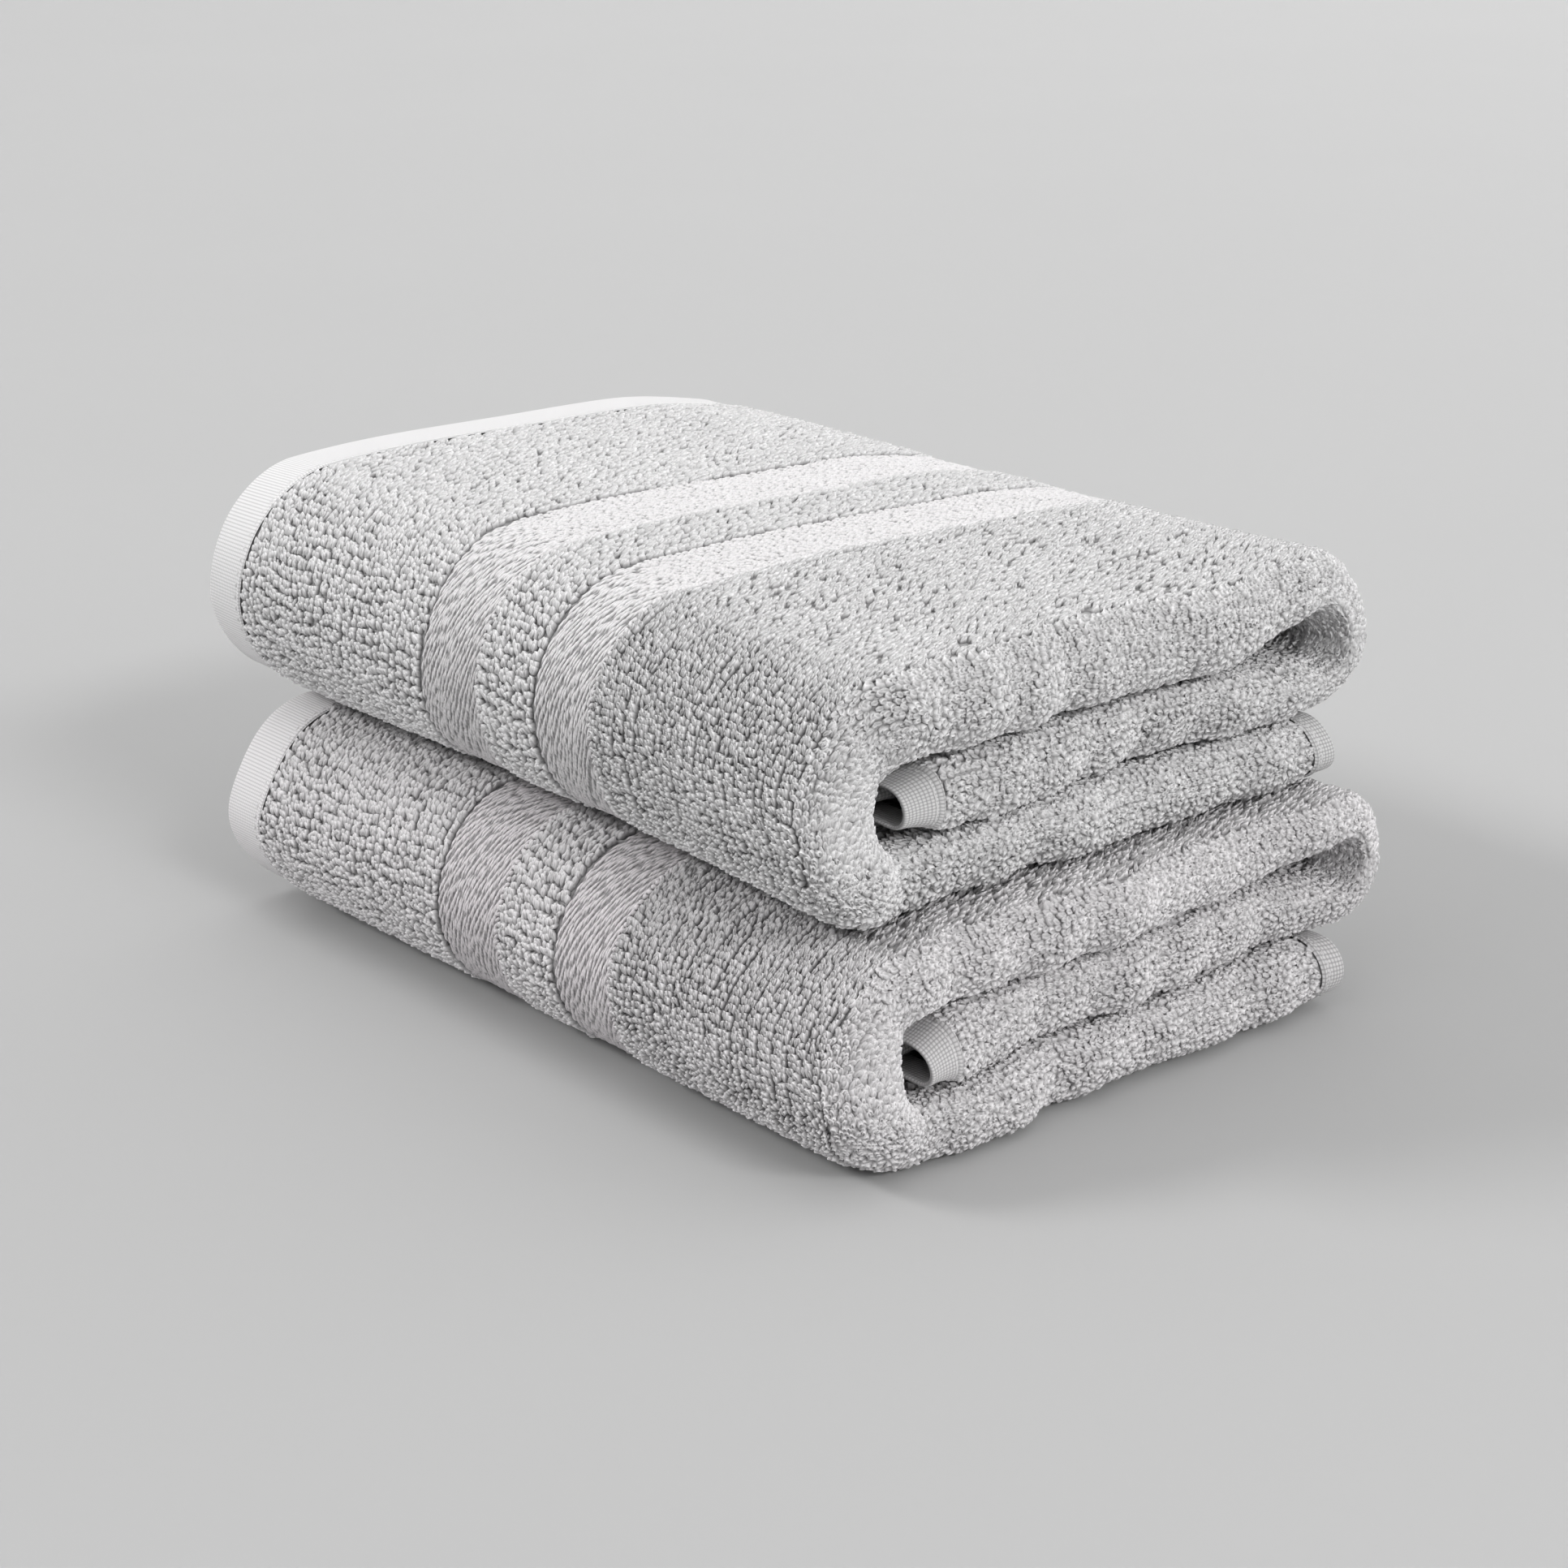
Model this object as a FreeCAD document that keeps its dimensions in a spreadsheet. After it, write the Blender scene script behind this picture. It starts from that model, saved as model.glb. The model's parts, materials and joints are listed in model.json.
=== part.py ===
import FreeCAD, Part
import os
import Sketcher

# A pair of folded terry bath towels, one on the other.
#
# Each towel is folded twice along its length, which leaves four plies, then in thirds
# across its width like a book whose last third is tucked inside. Row frame: X runs along
# the long rounded front fold, with the woven end hems at -X and the plain rounded fold at
# +X; -Y is the front fold; Z is up, from the face that the pile rests on.
#
# Seen along X, with "third" the thickness of one folded third:
#   bottom third   z from 0 to 1 third, its side hem set back from the back fold
#   front fold     rounded, 3 thirds high, around a hollow of half a third's radius
#   top third      z from 2 to 3 thirds
#   back fold      rounded, 2 thirds high
#   tucked third   z from 1 to 2 thirds, its side hem lying in the front fold's hollow
#
# The base of a towel is its bottom third with the lower half of the front fold. The flap is
# the upper half of the front fold, the top third, the back fold and the tucked third. It
# opens like a book cover about the outermost line of the front fold.

DIMENSIONS = {
    "folded_length": 354.0,
    "folded_width": 276.0,
    "lower_third": 26.6,
    "upper_third": 28.6,
    "back_setback": 24.0,
    "tuck_depth": 8.0,
    "end_hem_width": 20.5,
    "end_terry_width": 124.5,
    "band_width": 31.5,
    "divider_width": 32.5,
    "side_hem_width": 18.0,
    "pile_height": 2.0,
    "hem_drop": 1.2,
    "clearance": 0.3,
    "stagger_length": 16.0,
    "stagger_width": 6.6,
}

SHEET = "Dimensions"


def cell(name):
    """The expression that reads one driving dimension."""
    return f"{SHEET}.{name}"


LENGTH = cell("folded_length")
WIDTH = cell("folded_width")
CLEARANCE = cell("clearance")
HEM_DROP = cell("hem_drop")
PILE = cell("pile_height")


def make_sheet(document):
    """Write the driving dimensions, one to a row, each with its name as alias."""
    sheet = document.addObject("Spreadsheet::Sheet", SHEET)
    for row, (name, value) in enumerate(DIMENSIONS.items(), start=1):
        sheet.set(f"A{row}", name)
        sheet.set(f"B{row}", str(value))
        sheet.setAlias(f"B{row}", name)
    document.recompute()
    return sheet


# ---------------------------------------------------------------- outlines across the width


class Outline:
    """A closed outline in the YZ plane, drawn with pen moves whose sizes are expressions."""

    def __init__(self, start):
        self.points = [start]
        self.radii = []
        self.turns = []

    def line(self, y, z):
        """Draw a straight edge to a point."""
        self.points.append((y, z))
        self.radii.append(None)
        self.turns.append(None)

    def arc(self, y, z, radius, turn):
        """Draw an arc of under half a circle to a point; turn is +1 anticlockwise."""
        self.points.append((y, z))
        self.radii.append(radius)
        self.turns.append(turn)

    def close(self):
        """Draw the last straight edge back to the start."""
        self.radii.append(None)
        self.turns.append(None)


def front_centre(third):
    """Y of the centre of the front fold."""
    return f"(1.5 * {third} - {WIDTH} / 2)"


def back_centre(third):
    """Y of the centre of the back fold."""
    return f"({WIDTH} / 2 - {third})"


def tuck_edge(third):
    """Y of the tucked third's free edge, inside the front fold's hollow."""
    return f"({front_centre(third)} - {cell('tuck_depth')})"


def split_point(third, depth):
    """Y where the front fold, depth under its outside, meets the plane that splits it."""
    radius = f"(1.5 * {third} - {depth})"
    return f"({front_centre(third)} - sqrt({radius} ^ 2 - ({CLEARANCE} / 2) ^ 2))"


def base_outline(third, outer, inner):
    """The base between two depths under the outside of the cloth."""
    hem_start = f"{WIDTH} / 2 - {cell('back_setback')} - {cell('side_hem_width')}"
    split = f"1.5 * {third} - {CLEARANCE} / 2"
    outline = Outline((hem_start, outer))
    outline.line(front_centre(third), outer)
    outline.arc(split_point(third, outer), split, f"1.5 * {third} - {outer}", -1)
    outline.line(split_point(third, inner), split)
    outline.arc(front_centre(third), inner, f"1.5 * {third} - {inner}", 1)
    outline.line(hem_start, inner)
    outline.close()
    return outline


def flap_outline(third, outer, inner=None):
    """The flap between two depths under the outside of the cloth.

    With no inner depth the top and tucked thirds lie on each other and are one section.
    """
    hem_start = f"{tuck_edge(third)} + {cell('side_hem_width')}"
    split = f"1.5 * {third} + {CLEARANCE} / 2"
    back_radius = f"{third} - {outer}"
    outline = Outline((split_point(third, outer), split))
    outline.arc(front_centre(third), f"3 * {third} - {outer}", f"1.5 * {third} - {outer}", -1)
    outline.line(back_centre(third), f"3 * {third} - {outer}")
    outline.arc(f"{back_centre(third)} + {back_radius}", f"2 * {third}", back_radius, -1)
    outline.arc(back_centre(third), f"{third} + {outer}", back_radius, -1)
    outline.line(hem_start, f"{third} + {outer}")
    if inner is None:
        outline.line(hem_start, f"2 * {third}")
        outline.line(front_centre(third), f"2 * {third}")
        outline.arc(split_point(third, third), split, f"0.5 * {third}", 1)
    else:
        inner_radius = f"{third} - {inner}"
        outline.line(hem_start, f"{third} + {inner}")
        outline.line(back_centre(third), f"{third} + {inner}")
        outline.arc(f"{back_centre(third)} + {inner_radius}", f"2 * {third}", inner_radius, 1)
        outline.arc(back_centre(third), f"3 * {third} - {inner}", inner_radius, 1)
        outline.line(front_centre(third), f"3 * {third} - {inner}")
        outline.arc(split_point(third, inner), split, f"1.5 * {third} - {inner}", 1)
    outline.close()
    return outline


def base_side_hem_outline(third):
    """The hemmed free edge of the bottom third, rounded at the back."""
    edge = f"({WIDTH} / 2 - {cell('back_setback')})"
    start = f"{edge} - {cell('side_hem_width')}"
    radius = f"({third} - {CLEARANCE}) / 2"
    outline = Outline((start, "0"))
    outline.line(f"{edge} - {radius}", "0")
    outline.arc(edge, radius, radius, 1)
    outline.arc(f"{edge} - {radius}", f"{third} - {CLEARANCE}", radius, 1)
    outline.line(start, f"{third} - {CLEARANCE}")
    outline.close()
    return outline


def flap_side_hem_outline(third):
    """The hemmed free edge of the tucked third, rounded at the front."""
    edge = tuck_edge(third)
    start = f"{edge} + {cell('side_hem_width')}"
    radius = f"({third} / 2 - {CLEARANCE})"
    outline = Outline((start, f"2 * {third} - {CLEARANCE}"))
    outline.line(f"{edge} + {radius}", f"2 * {third} - {CLEARANCE}")
    outline.arc(edge, f"1.5 * {third}", radius, 1)
    outline.arc(f"{edge} + {radius}", f"{third} + {CLEARANCE}", radius, 1)
    outline.line(start, f"{third} + {CLEARANCE}")
    outline.close()
    return outline


# ---------------------------------------------------------------- sketches and bodies


def arc_geometry(start, end, radius, turn):
    """A Part arc between two points with the given radius, bulging to the turn's outside."""
    chord = end - start
    middle = (start + end) / 2
    reach = max(radius**2 - (chord.Length / 2) ** 2, 0.0) ** 0.5
    side = FreeCAD.Vector(-chord.y, chord.x, 0).normalize() * turn
    centre = middle + side * reach
    bulge = centre + (middle - centre).normalize() * radius
    return Part.Arc(start, bulge, end)


def draw(sketch, outline):
    """Draw an outline in a sketch, with each corner and radius bound to its expression."""

    def value(expression):
        return float(sketch.evalExpression(expression))

    corners = [FreeCAD.Vector(value(y), value(z), 0) for y, z in outline.points]
    count = len(corners)
    starts = []
    ends = []
    for index in range(count):
        here = corners[index]
        after = corners[(index + 1) % count]
        radius = outline.radii[index]
        if radius is None:
            edge = sketch.addGeometry(Part.LineSegment(here, after), False)
            start_end = (1, 2)
        else:
            turn = outline.turns[index]
            shape = arc_geometry(here, after, value(radius), turn)
            edge = sketch.addGeometry(shape, False)
            start_end = (1, 2) if turn > 0 else (2, 1)
        starts.append((edge, start_end[0]))
        ends.append((edge, start_end[1]))
    for index in range(count):
        following = starts[(index + 1) % count]
        sketch.addConstraint(Sketcher.Constraint("Coincident", *ends[index], *following))
    for index, (y, z) in enumerate(outline.points):
        for kind, expression, size in (("X", y, corners[index].x), ("Y", z, corners[index].y)):
            origin_to_corner = (-1, 1, *starts[index])
            constraint = Sketcher.Constraint(f"Distance{kind}", *origin_to_corner, size)
            number = sketch.addConstraint(constraint)
            sketch.setExpression(f"Constraints[{number}]", expression)
    for index, radius in enumerate(outline.radii):
        if radius is not None:
            constraint = Sketcher.Constraint("Radius", starts[index][0], value(radius))
            number = sketch.addConstraint(constraint)
            sketch.setExpression(f"Constraints[{number}]", radius)


def origin_plane(body, role):
    """The body's own origin plane with the given role."""
    return next(item for item in body.Origin.OriginFeatures if item.Role == role)


def make_body(document, label, outline, start, length, towel):
    """A body whose outline across the width is padded along X from start for length."""
    body = document.addObject("PartDesign::Body", label)
    body.Label = label
    sketch = body.newObject("Sketcher::SketchObject", f"{label}_outline")
    sketch.AttachmentSupport = [(origin_plane(body, "YZ_Plane"), "")]
    sketch.MapMode = "FlatFace"
    draw(sketch, outline)
    pad = body.newObject("PartDesign::Pad", f"{label}_pad")
    pad.Profile = sketch
    pad.setExpression("Length", length)
    body.setExpression("Placement.Base.x", f"{start} - {LENGTH} / 2 + {towel['shift_length']}")
    body.setExpression("Placement.Base.y", towel["shift_width"])
    body.setExpression("Placement.Base.z", towel["rise"])
    body.Tip = pad
    return body


def round_folded_end(document, body, third):
    """Round the +X end of a body, where all four plies turn in a fold."""
    document.recompute()
    far = body.Shape.BoundBox.XMax
    tip = body.Tip
    edges = []
    for number, edge in enumerate(tip.Shape.Edges, start=1):
        box = edge.BoundBox
        if box.XLength < 1e-6 and abs(body.Placement.Base.x + box.XMax - far) < 1e-6:
            edges.append(f"Edge{number}")
    fillet = body.newObject("PartDesign::Fillet", f"{body.Name}_fold")
    fillet.Base = (tip, edges)
    fillet.setExpression("Radius", f"0.42 * {third}")
    body.Tip = fillet


# ---------------------------------------------------------------- one towel


def weave_zones(third):
    """The woven zones from the end hem to the folded end.

    Each is (name, width along X, depths under the outside of the cloth where it lies). A
    zone with no inner depth takes the full thickness of four plies.
    """
    terry = ("0", None)
    band = (PILE, None)
    zones = [
        ("end_hem", cell("end_hem_width"), (HEM_DROP, f"0.25 * {third}")),
        ("second_end_hem", cell("end_hem_width"), (f"0.25 * {third}", f"0.5 * {third}")),
        ("middle_fold", cell("end_hem_width"), (f"0.5 * {third}", None)),
        ("end_terry", cell("end_terry_width"), terry),
        ("outer_band", cell("band_width"), band),
        ("band_divider", cell("divider_width"), terry),
        ("inner_band", cell("band_width"), band),
    ]
    used = " - ".join(
        [
            LENGTH,
            cell("end_hem_width"),
            cell("end_terry_width"),
            cell("band_width"),
            cell("divider_width"),
            cell("band_width"),
        ]
    )
    zones.append(("main_terry", f"({used})", terry))
    return zones


# The first three zones lie on each other at the hemmed end, so they share one start.
STACKED_ZONES = 3


def make_towel(document, towel):
    """All bodies of one towel, in zones from the hems to the folded end."""
    third = towel["third"]
    start = "0"
    for number, (zone, width, (outer, inner)) in enumerate(weave_zones(third)):
        base_inner = f"({third} - {CLEARANCE})" if inner is None else inner
        base = base_outline(third, outer, base_inner)
        flap = flap_outline(third, outer, inner)
        for side, outline in (("base", base), ("flap", flap)):
            label = f"{towel['name']}_{side}_{zone}"
            body = make_body(document, label, outline, start, width, towel)
            if zone == "main_terry":
                round_folded_end(document, body, third)
        if number >= STACKED_ZONES - 1:
            start = f"{start} + {width}"
    hems = (("base", base_side_hem_outline(third)), ("flap", flap_side_hem_outline(third)))
    for side, outline in hems:
        label = f"{towel['name']}_{side}_side_hem"
        make_body(document, label, outline, "0", LENGTH, towel)


def make_towels(document):
    """The lower towel on the ground and the upper one staggered on top of it."""
    half_length = f"{cell('stagger_length')} / 2"
    half_width = f"{cell('stagger_width')} / 2"
    lower = {
        "name": "lower",
        "third": cell("lower_third"),
        "shift_length": half_length,
        "shift_width": f"-{half_width}",
        "rise": "0",
    }
    upper = {
        "name": "upper",
        "third": cell("upper_third"),
        "shift_length": f"-{half_length}",
        "shift_width": half_width,
        "rise": f"3 * {cell('lower_third')} + {CLEARANCE}",
    }
    for towel in (lower, upper):
        make_towel(document, towel)


# ---------------------------------------------------------------- checks and files


def check(document):
    """Stop if any object failed or any body has no valid solid."""
    for item in document.Objects:
        if "Invalid" in item.State or "Error" in item.State:
            raise RuntimeError(f"{item.Label} failed: {item.State}")
    for body in document.findObjects("PartDesign::Body"):
        if body.Shape.isNull() or not body.Shape.isValid() or not body.Shape.Solids:
            raise RuntimeError(f"{body.Label} has no valid solid")


def write_parts(document):
    """Write each body to its own STEP file, named as its label."""
    os.makedirs("parts", exist_ok=True)
    for body in document.findObjects("PartDesign::Body"):
        body.Shape.exportStep(f"parts/{body.Label}.step")


def main():
    document = FreeCAD.newDocument("bath_towel_set")
    make_sheet(document)
    make_towels(document)
    document.recompute()
    check(document)
    write_parts(document)


main()
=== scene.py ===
import json
import logging
import math
from dataclasses import dataclass, field
from enum import Enum
from typing import ClassVar

import bpy
import numpy as np
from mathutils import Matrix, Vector


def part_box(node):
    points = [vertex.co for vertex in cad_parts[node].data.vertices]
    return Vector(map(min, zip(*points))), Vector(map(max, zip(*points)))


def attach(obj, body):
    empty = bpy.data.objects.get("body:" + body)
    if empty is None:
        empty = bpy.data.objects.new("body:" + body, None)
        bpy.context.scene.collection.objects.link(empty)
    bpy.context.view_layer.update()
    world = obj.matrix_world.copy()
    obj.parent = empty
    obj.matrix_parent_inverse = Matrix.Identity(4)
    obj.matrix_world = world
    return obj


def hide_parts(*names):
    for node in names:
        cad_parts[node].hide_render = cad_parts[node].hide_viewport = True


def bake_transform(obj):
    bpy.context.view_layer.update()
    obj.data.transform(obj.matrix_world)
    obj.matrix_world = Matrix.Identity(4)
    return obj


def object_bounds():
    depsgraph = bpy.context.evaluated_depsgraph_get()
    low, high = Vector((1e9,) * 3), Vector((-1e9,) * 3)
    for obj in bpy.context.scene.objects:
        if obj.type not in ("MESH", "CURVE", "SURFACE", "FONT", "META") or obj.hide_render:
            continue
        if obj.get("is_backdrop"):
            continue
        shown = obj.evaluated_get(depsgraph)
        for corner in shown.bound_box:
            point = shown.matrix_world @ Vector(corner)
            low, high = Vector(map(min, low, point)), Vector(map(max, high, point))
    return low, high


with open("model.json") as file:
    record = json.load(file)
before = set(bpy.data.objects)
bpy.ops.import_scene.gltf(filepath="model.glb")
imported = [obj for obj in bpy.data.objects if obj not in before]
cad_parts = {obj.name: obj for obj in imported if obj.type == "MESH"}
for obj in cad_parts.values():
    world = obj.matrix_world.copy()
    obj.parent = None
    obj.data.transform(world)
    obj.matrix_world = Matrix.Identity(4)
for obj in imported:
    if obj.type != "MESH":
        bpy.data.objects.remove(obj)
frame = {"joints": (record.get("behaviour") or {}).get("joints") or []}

log = logging.getLogger("bath_towel_set")

MM = 0.001
PILE_HEIGHT = 2.9 * MM
HEM_OVERLAP = 3.5 * MM
BAND_OVERLAP = 5.0 * MM
FULL_TURN = 6.283


class Third(Enum):
    """The stretches of a towel's width that move as one."""

    BASE = "base"
    FOLD = "fold"
    FLAP = "flap"


class Weave(Enum):
    """The woven zones along a towel's length, from the end hem on the outer ply."""

    END_HEM = "end_hem"
    END_TERRY = "end_terry"
    OUTER_BAND = "outer_band"
    BAND_DIVIDER = "band_divider"
    INNER_BAND = "inner_band"
    MAIN_TERRY = "main_terry"


BAND_ZONES = (Weave.OUTER_BAND, Weave.INNER_BAND)


# ---------------------------------------------------------------- smooth shapes as formulas


def smooth_step(value: np.ndarray, low: float, high: float) -> np.ndarray:
    """Rise from 0 at low to 1 at high with level ends: 3u^2 - 2u^3 of the clipped share u.

    Args:
        value: Where to evaluate.
        low: Value at which the step starts.
        high: Value at which the step is complete.

    Returns:
        The step, from 0 to 1, in value's shape.
    """
    share = np.clip((value - low) / (high - low), 0.0, 1.0)
    return share * share * (3.0 - 2.0 * share)


@dataclass(frozen=True)
class Ripple:
    """A gentle uneven field: a sum of sine waves of random direction, length and phase."""

    seed: int
    shortest: float
    longest: float
    waves: int = 7

    def at(self, *coordinates: np.ndarray) -> np.ndarray:
        """The sum of sin(direction . position * 2 pi / length + phase), scaled to about 1.

        Args:
            coordinates: One array for each axis that the field varies along.

        Returns:
            The field at those places, mostly from -1 to 1.
        """
        random = np.random.default_rng(self.seed)
        total = np.zeros(np.broadcast(*coordinates).shape)
        for _ in range(self.waves):
            direction = random.normal(size=len(coordinates))
            direction /= np.linalg.norm(direction)
            length = random.uniform(self.shortest, self.longest)
            phase = random.uniform(0.0, 2.0 * math.pi)
            along = sum(d * c for d, c in zip(direction, coordinates))
            total = total + np.sin(along * (2.0 * math.pi / length) + phase)
        return total / math.sqrt(self.waves)


# ---------------------------------------------------------------- how one towel is folded


@dataclass(frozen=True)
class WidthPath:
    """The towel's middle line across its width: a spiral of three thirds seen along X.

    From the free edge of the bottom third it runs forward, round the front fold on a radius
    of one third's thickness, back along the top, round the back fold on half that radius,
    and forward again to the free edge of the tucked third.
    """

    third: float
    rise: float
    front_centre: float
    back_centre: float
    bottom_edge: float
    tucked_edge: float

    @property
    def lengths(self) -> tuple[float, float, float, float, float]:
        """The length of each of the five stretches."""
        return (
            self.bottom_edge - self.front_centre,
            math.pi * self.third,
            self.back_centre - self.front_centre,
            math.pi * self.third / 2.0,
            self.back_centre - self.tucked_edge,
        )

    @property
    def total(self) -> float:
        """The towel's whole width along its middle line."""
        return sum(self.lengths)

    def span(self, third: Third) -> tuple[float, float]:
        """Where one stretch starts and ends along the width."""
        base_end = self.lengths[0]
        fold_end = base_end + self.lengths[1]
        spans = {
            Third.BASE: (0.0, base_end),
            Third.FOLD: (base_end, fold_end),
            Third.FLAP: (fold_end, self.total),
        }
        return spans[third]

    def at(self, across: np.ndarray) -> tuple[np.ndarray, np.ndarray, np.ndarray, np.ndarray]:
        """Place and outward direction in the YZ plane for distances along the path.

        Straight stretches run at a constant height; each fold is a circle about its centre,
        with the outward direction pointing away from that centre.

        Args:
            across: Distances along the middle line, in metres.

        Returns:
            y, z, and the outward direction's y and z.
        """
        bottom, front, top, back, _ = self.lengths
        into_front = (across - bottom) / self.third
        into_back = (across - bottom - front - top) / (self.third / 2.0)
        front_angle = -math.pi / 2.0 - np.clip(into_front, 0.0, math.pi)
        back_angle = math.pi / 2.0 - np.clip(into_back, 0.0, math.pi)
        stretch = [
            across < bottom,
            across < bottom + front,
            across < bottom + front + top,
            across < bottom + front + top + back,
        ]
        ones = np.ones_like(across)
        y = np.select(
            stretch,
            [
                self.bottom_edge - across,
                self.front_centre + self.third * np.cos(front_angle),
                self.front_centre + across - bottom - front,
                self.back_centre + self.third / 2.0 * np.cos(back_angle),
            ],
            self.back_centre - (across - bottom - front - top - back),
        )
        z = np.select(
            stretch,
            [
                0.5 * self.third * ones,
                1.5 * self.third + self.third * np.sin(front_angle),
                2.5 * self.third * ones,
                2.0 * self.third + self.third / 2.0 * np.sin(back_angle),
            ],
            1.5 * self.third * ones,
        )
        out_y = np.select(
            stretch, [0.0 * ones, np.cos(front_angle), 0.0 * ones, np.cos(back_angle)], 0.0
        )
        out_z = np.select(
            stretch, [-ones, np.sin(front_angle), ones, np.sin(back_angle)], -1.0
        )
        return y, z + self.rise, out_y, out_z


@dataclass
class LengthPath:
    """The towel's length folded into four plies, in the plane of X and ply offset.

    From the first end hem the outer ply runs to +X, turns on the large fold, comes back as
    the innermost ply, turns on the middle fold at -X, and runs out and back once more on the
    small fold to the second end hem. The large fold is a flattened half ellipse.
    """

    start: float
    end: float
    outer: float
    inner: float
    bulge: float
    middle_inset: float = 9.0 * MM
    second_inset: float = 2.5 * MM
    small_inset: float = 13.0 * MM
    step: float = 0.25 * MM
    table: np.ndarray = field(init=False)
    marks: dict[str, float] = field(init=False)

    def __post_init__(self) -> None:
        """Lay the path out as fine straight steps and keep the distance to each."""
        turn = np.linspace(0.0, math.pi, 90)
        sine, cosine = np.sin(turn), np.cos(turn)
        large_centre = self.end - self.bulge
        small_bulge = self.bulge * self.inner / self.outer * 1.2
        small_centre = large_centre - self.small_inset
        middle = self.start + self.middle_inset
        middle_radius = (self.outer - self.inner) / 2.0
        middle_offset = -(self.outer + self.inner) / 2.0
        large_fold = [large_centre + self.bulge * sine**0.8, self.outer * cosine]
        middle_fold = [middle + middle_radius * (1.0 - sine), middle_offset - middle_radius * cosine]
        small_fold = [small_centre + small_bulge * sine, -self.inner * cosine]
        runs = [
            ("outer_ply", self._run(self.start, large_centre, self.outer)),
            ("large_fold", np.column_stack(large_fold)),
            ("inner_ply", self._run(large_centre, middle + middle_radius, -self.outer)),
            ("middle_fold", np.column_stack(middle_fold)),
            ("third_ply", self._run(middle + middle_radius, small_centre, -self.inner)),
            ("small_fold", np.column_stack(small_fold)),
            ("second_ply", self._run(small_centre, self.start + self.second_inset, self.inner)),
        ]
        points = np.concatenate([run for _, run in runs])
        gaps = np.linalg.norm(np.diff(points, axis=0), axis=1)
        keep = np.concatenate([[True], gaps > 1e-7])
        counts = np.cumsum([0] + [len(run) for _, run in runs])
        distance = np.concatenate([[0.0], np.cumsum(gaps)])
        self.marks = {name: float(distance[counts[i]]) for i, (name, _) in enumerate(runs)}
        self.marks["end"] = float(distance[-1])
        points, distance = points[keep], distance[keep]
        slope = np.gradient(points, distance, axis=0)
        slope /= np.linalg.norm(slope, axis=1, keepdims=True)
        self.table = np.column_stack([distance, points, slope])

    def _run(self, start: float, end: float, offset: float) -> np.ndarray:
        """A straight ply from one X to another at an offset, in small steps."""
        count = max(2, int(abs(end - start) / self.step))
        x = np.linspace(start, end, count)
        return np.stack([x, np.full(count, offset)], axis=1)

    def at(self, along: np.ndarray) -> tuple[np.ndarray, np.ndarray, np.ndarray, np.ndarray]:
        """Place and outward direction in the plane of X and offset.

        The outward direction is the direction of travel turned left, which is the towel's
        right side: away from the panel on the outer ply, the large fold and the inner ply.

        Args:
            along: Distances from the first end hem, in metres.

        Returns:
            x, offset, and the outward direction's x and offset parts.
        """
        distance, x, offset, slope_x, slope_offset = self.table.T
        out_x = -np.interp(along, distance, slope_offset)
        out_offset = np.interp(along, distance, slope_x)
        size = np.hypot(out_x, out_offset)
        beyond = np.minimum(along, 0.0) + np.maximum(along - distance[-1], 0.0)
        first_way = np.where(along < 0.0, slope_x[0], slope_x[-1])
        return (
            np.interp(along, distance, x) + beyond * first_way,
            np.interp(along, distance, offset),
            out_x / size,
            out_offset / size,
        )

    @property
    def total(self) -> float:
        """The towel's whole length along its cloth."""
        return self.marks["end"]


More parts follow.
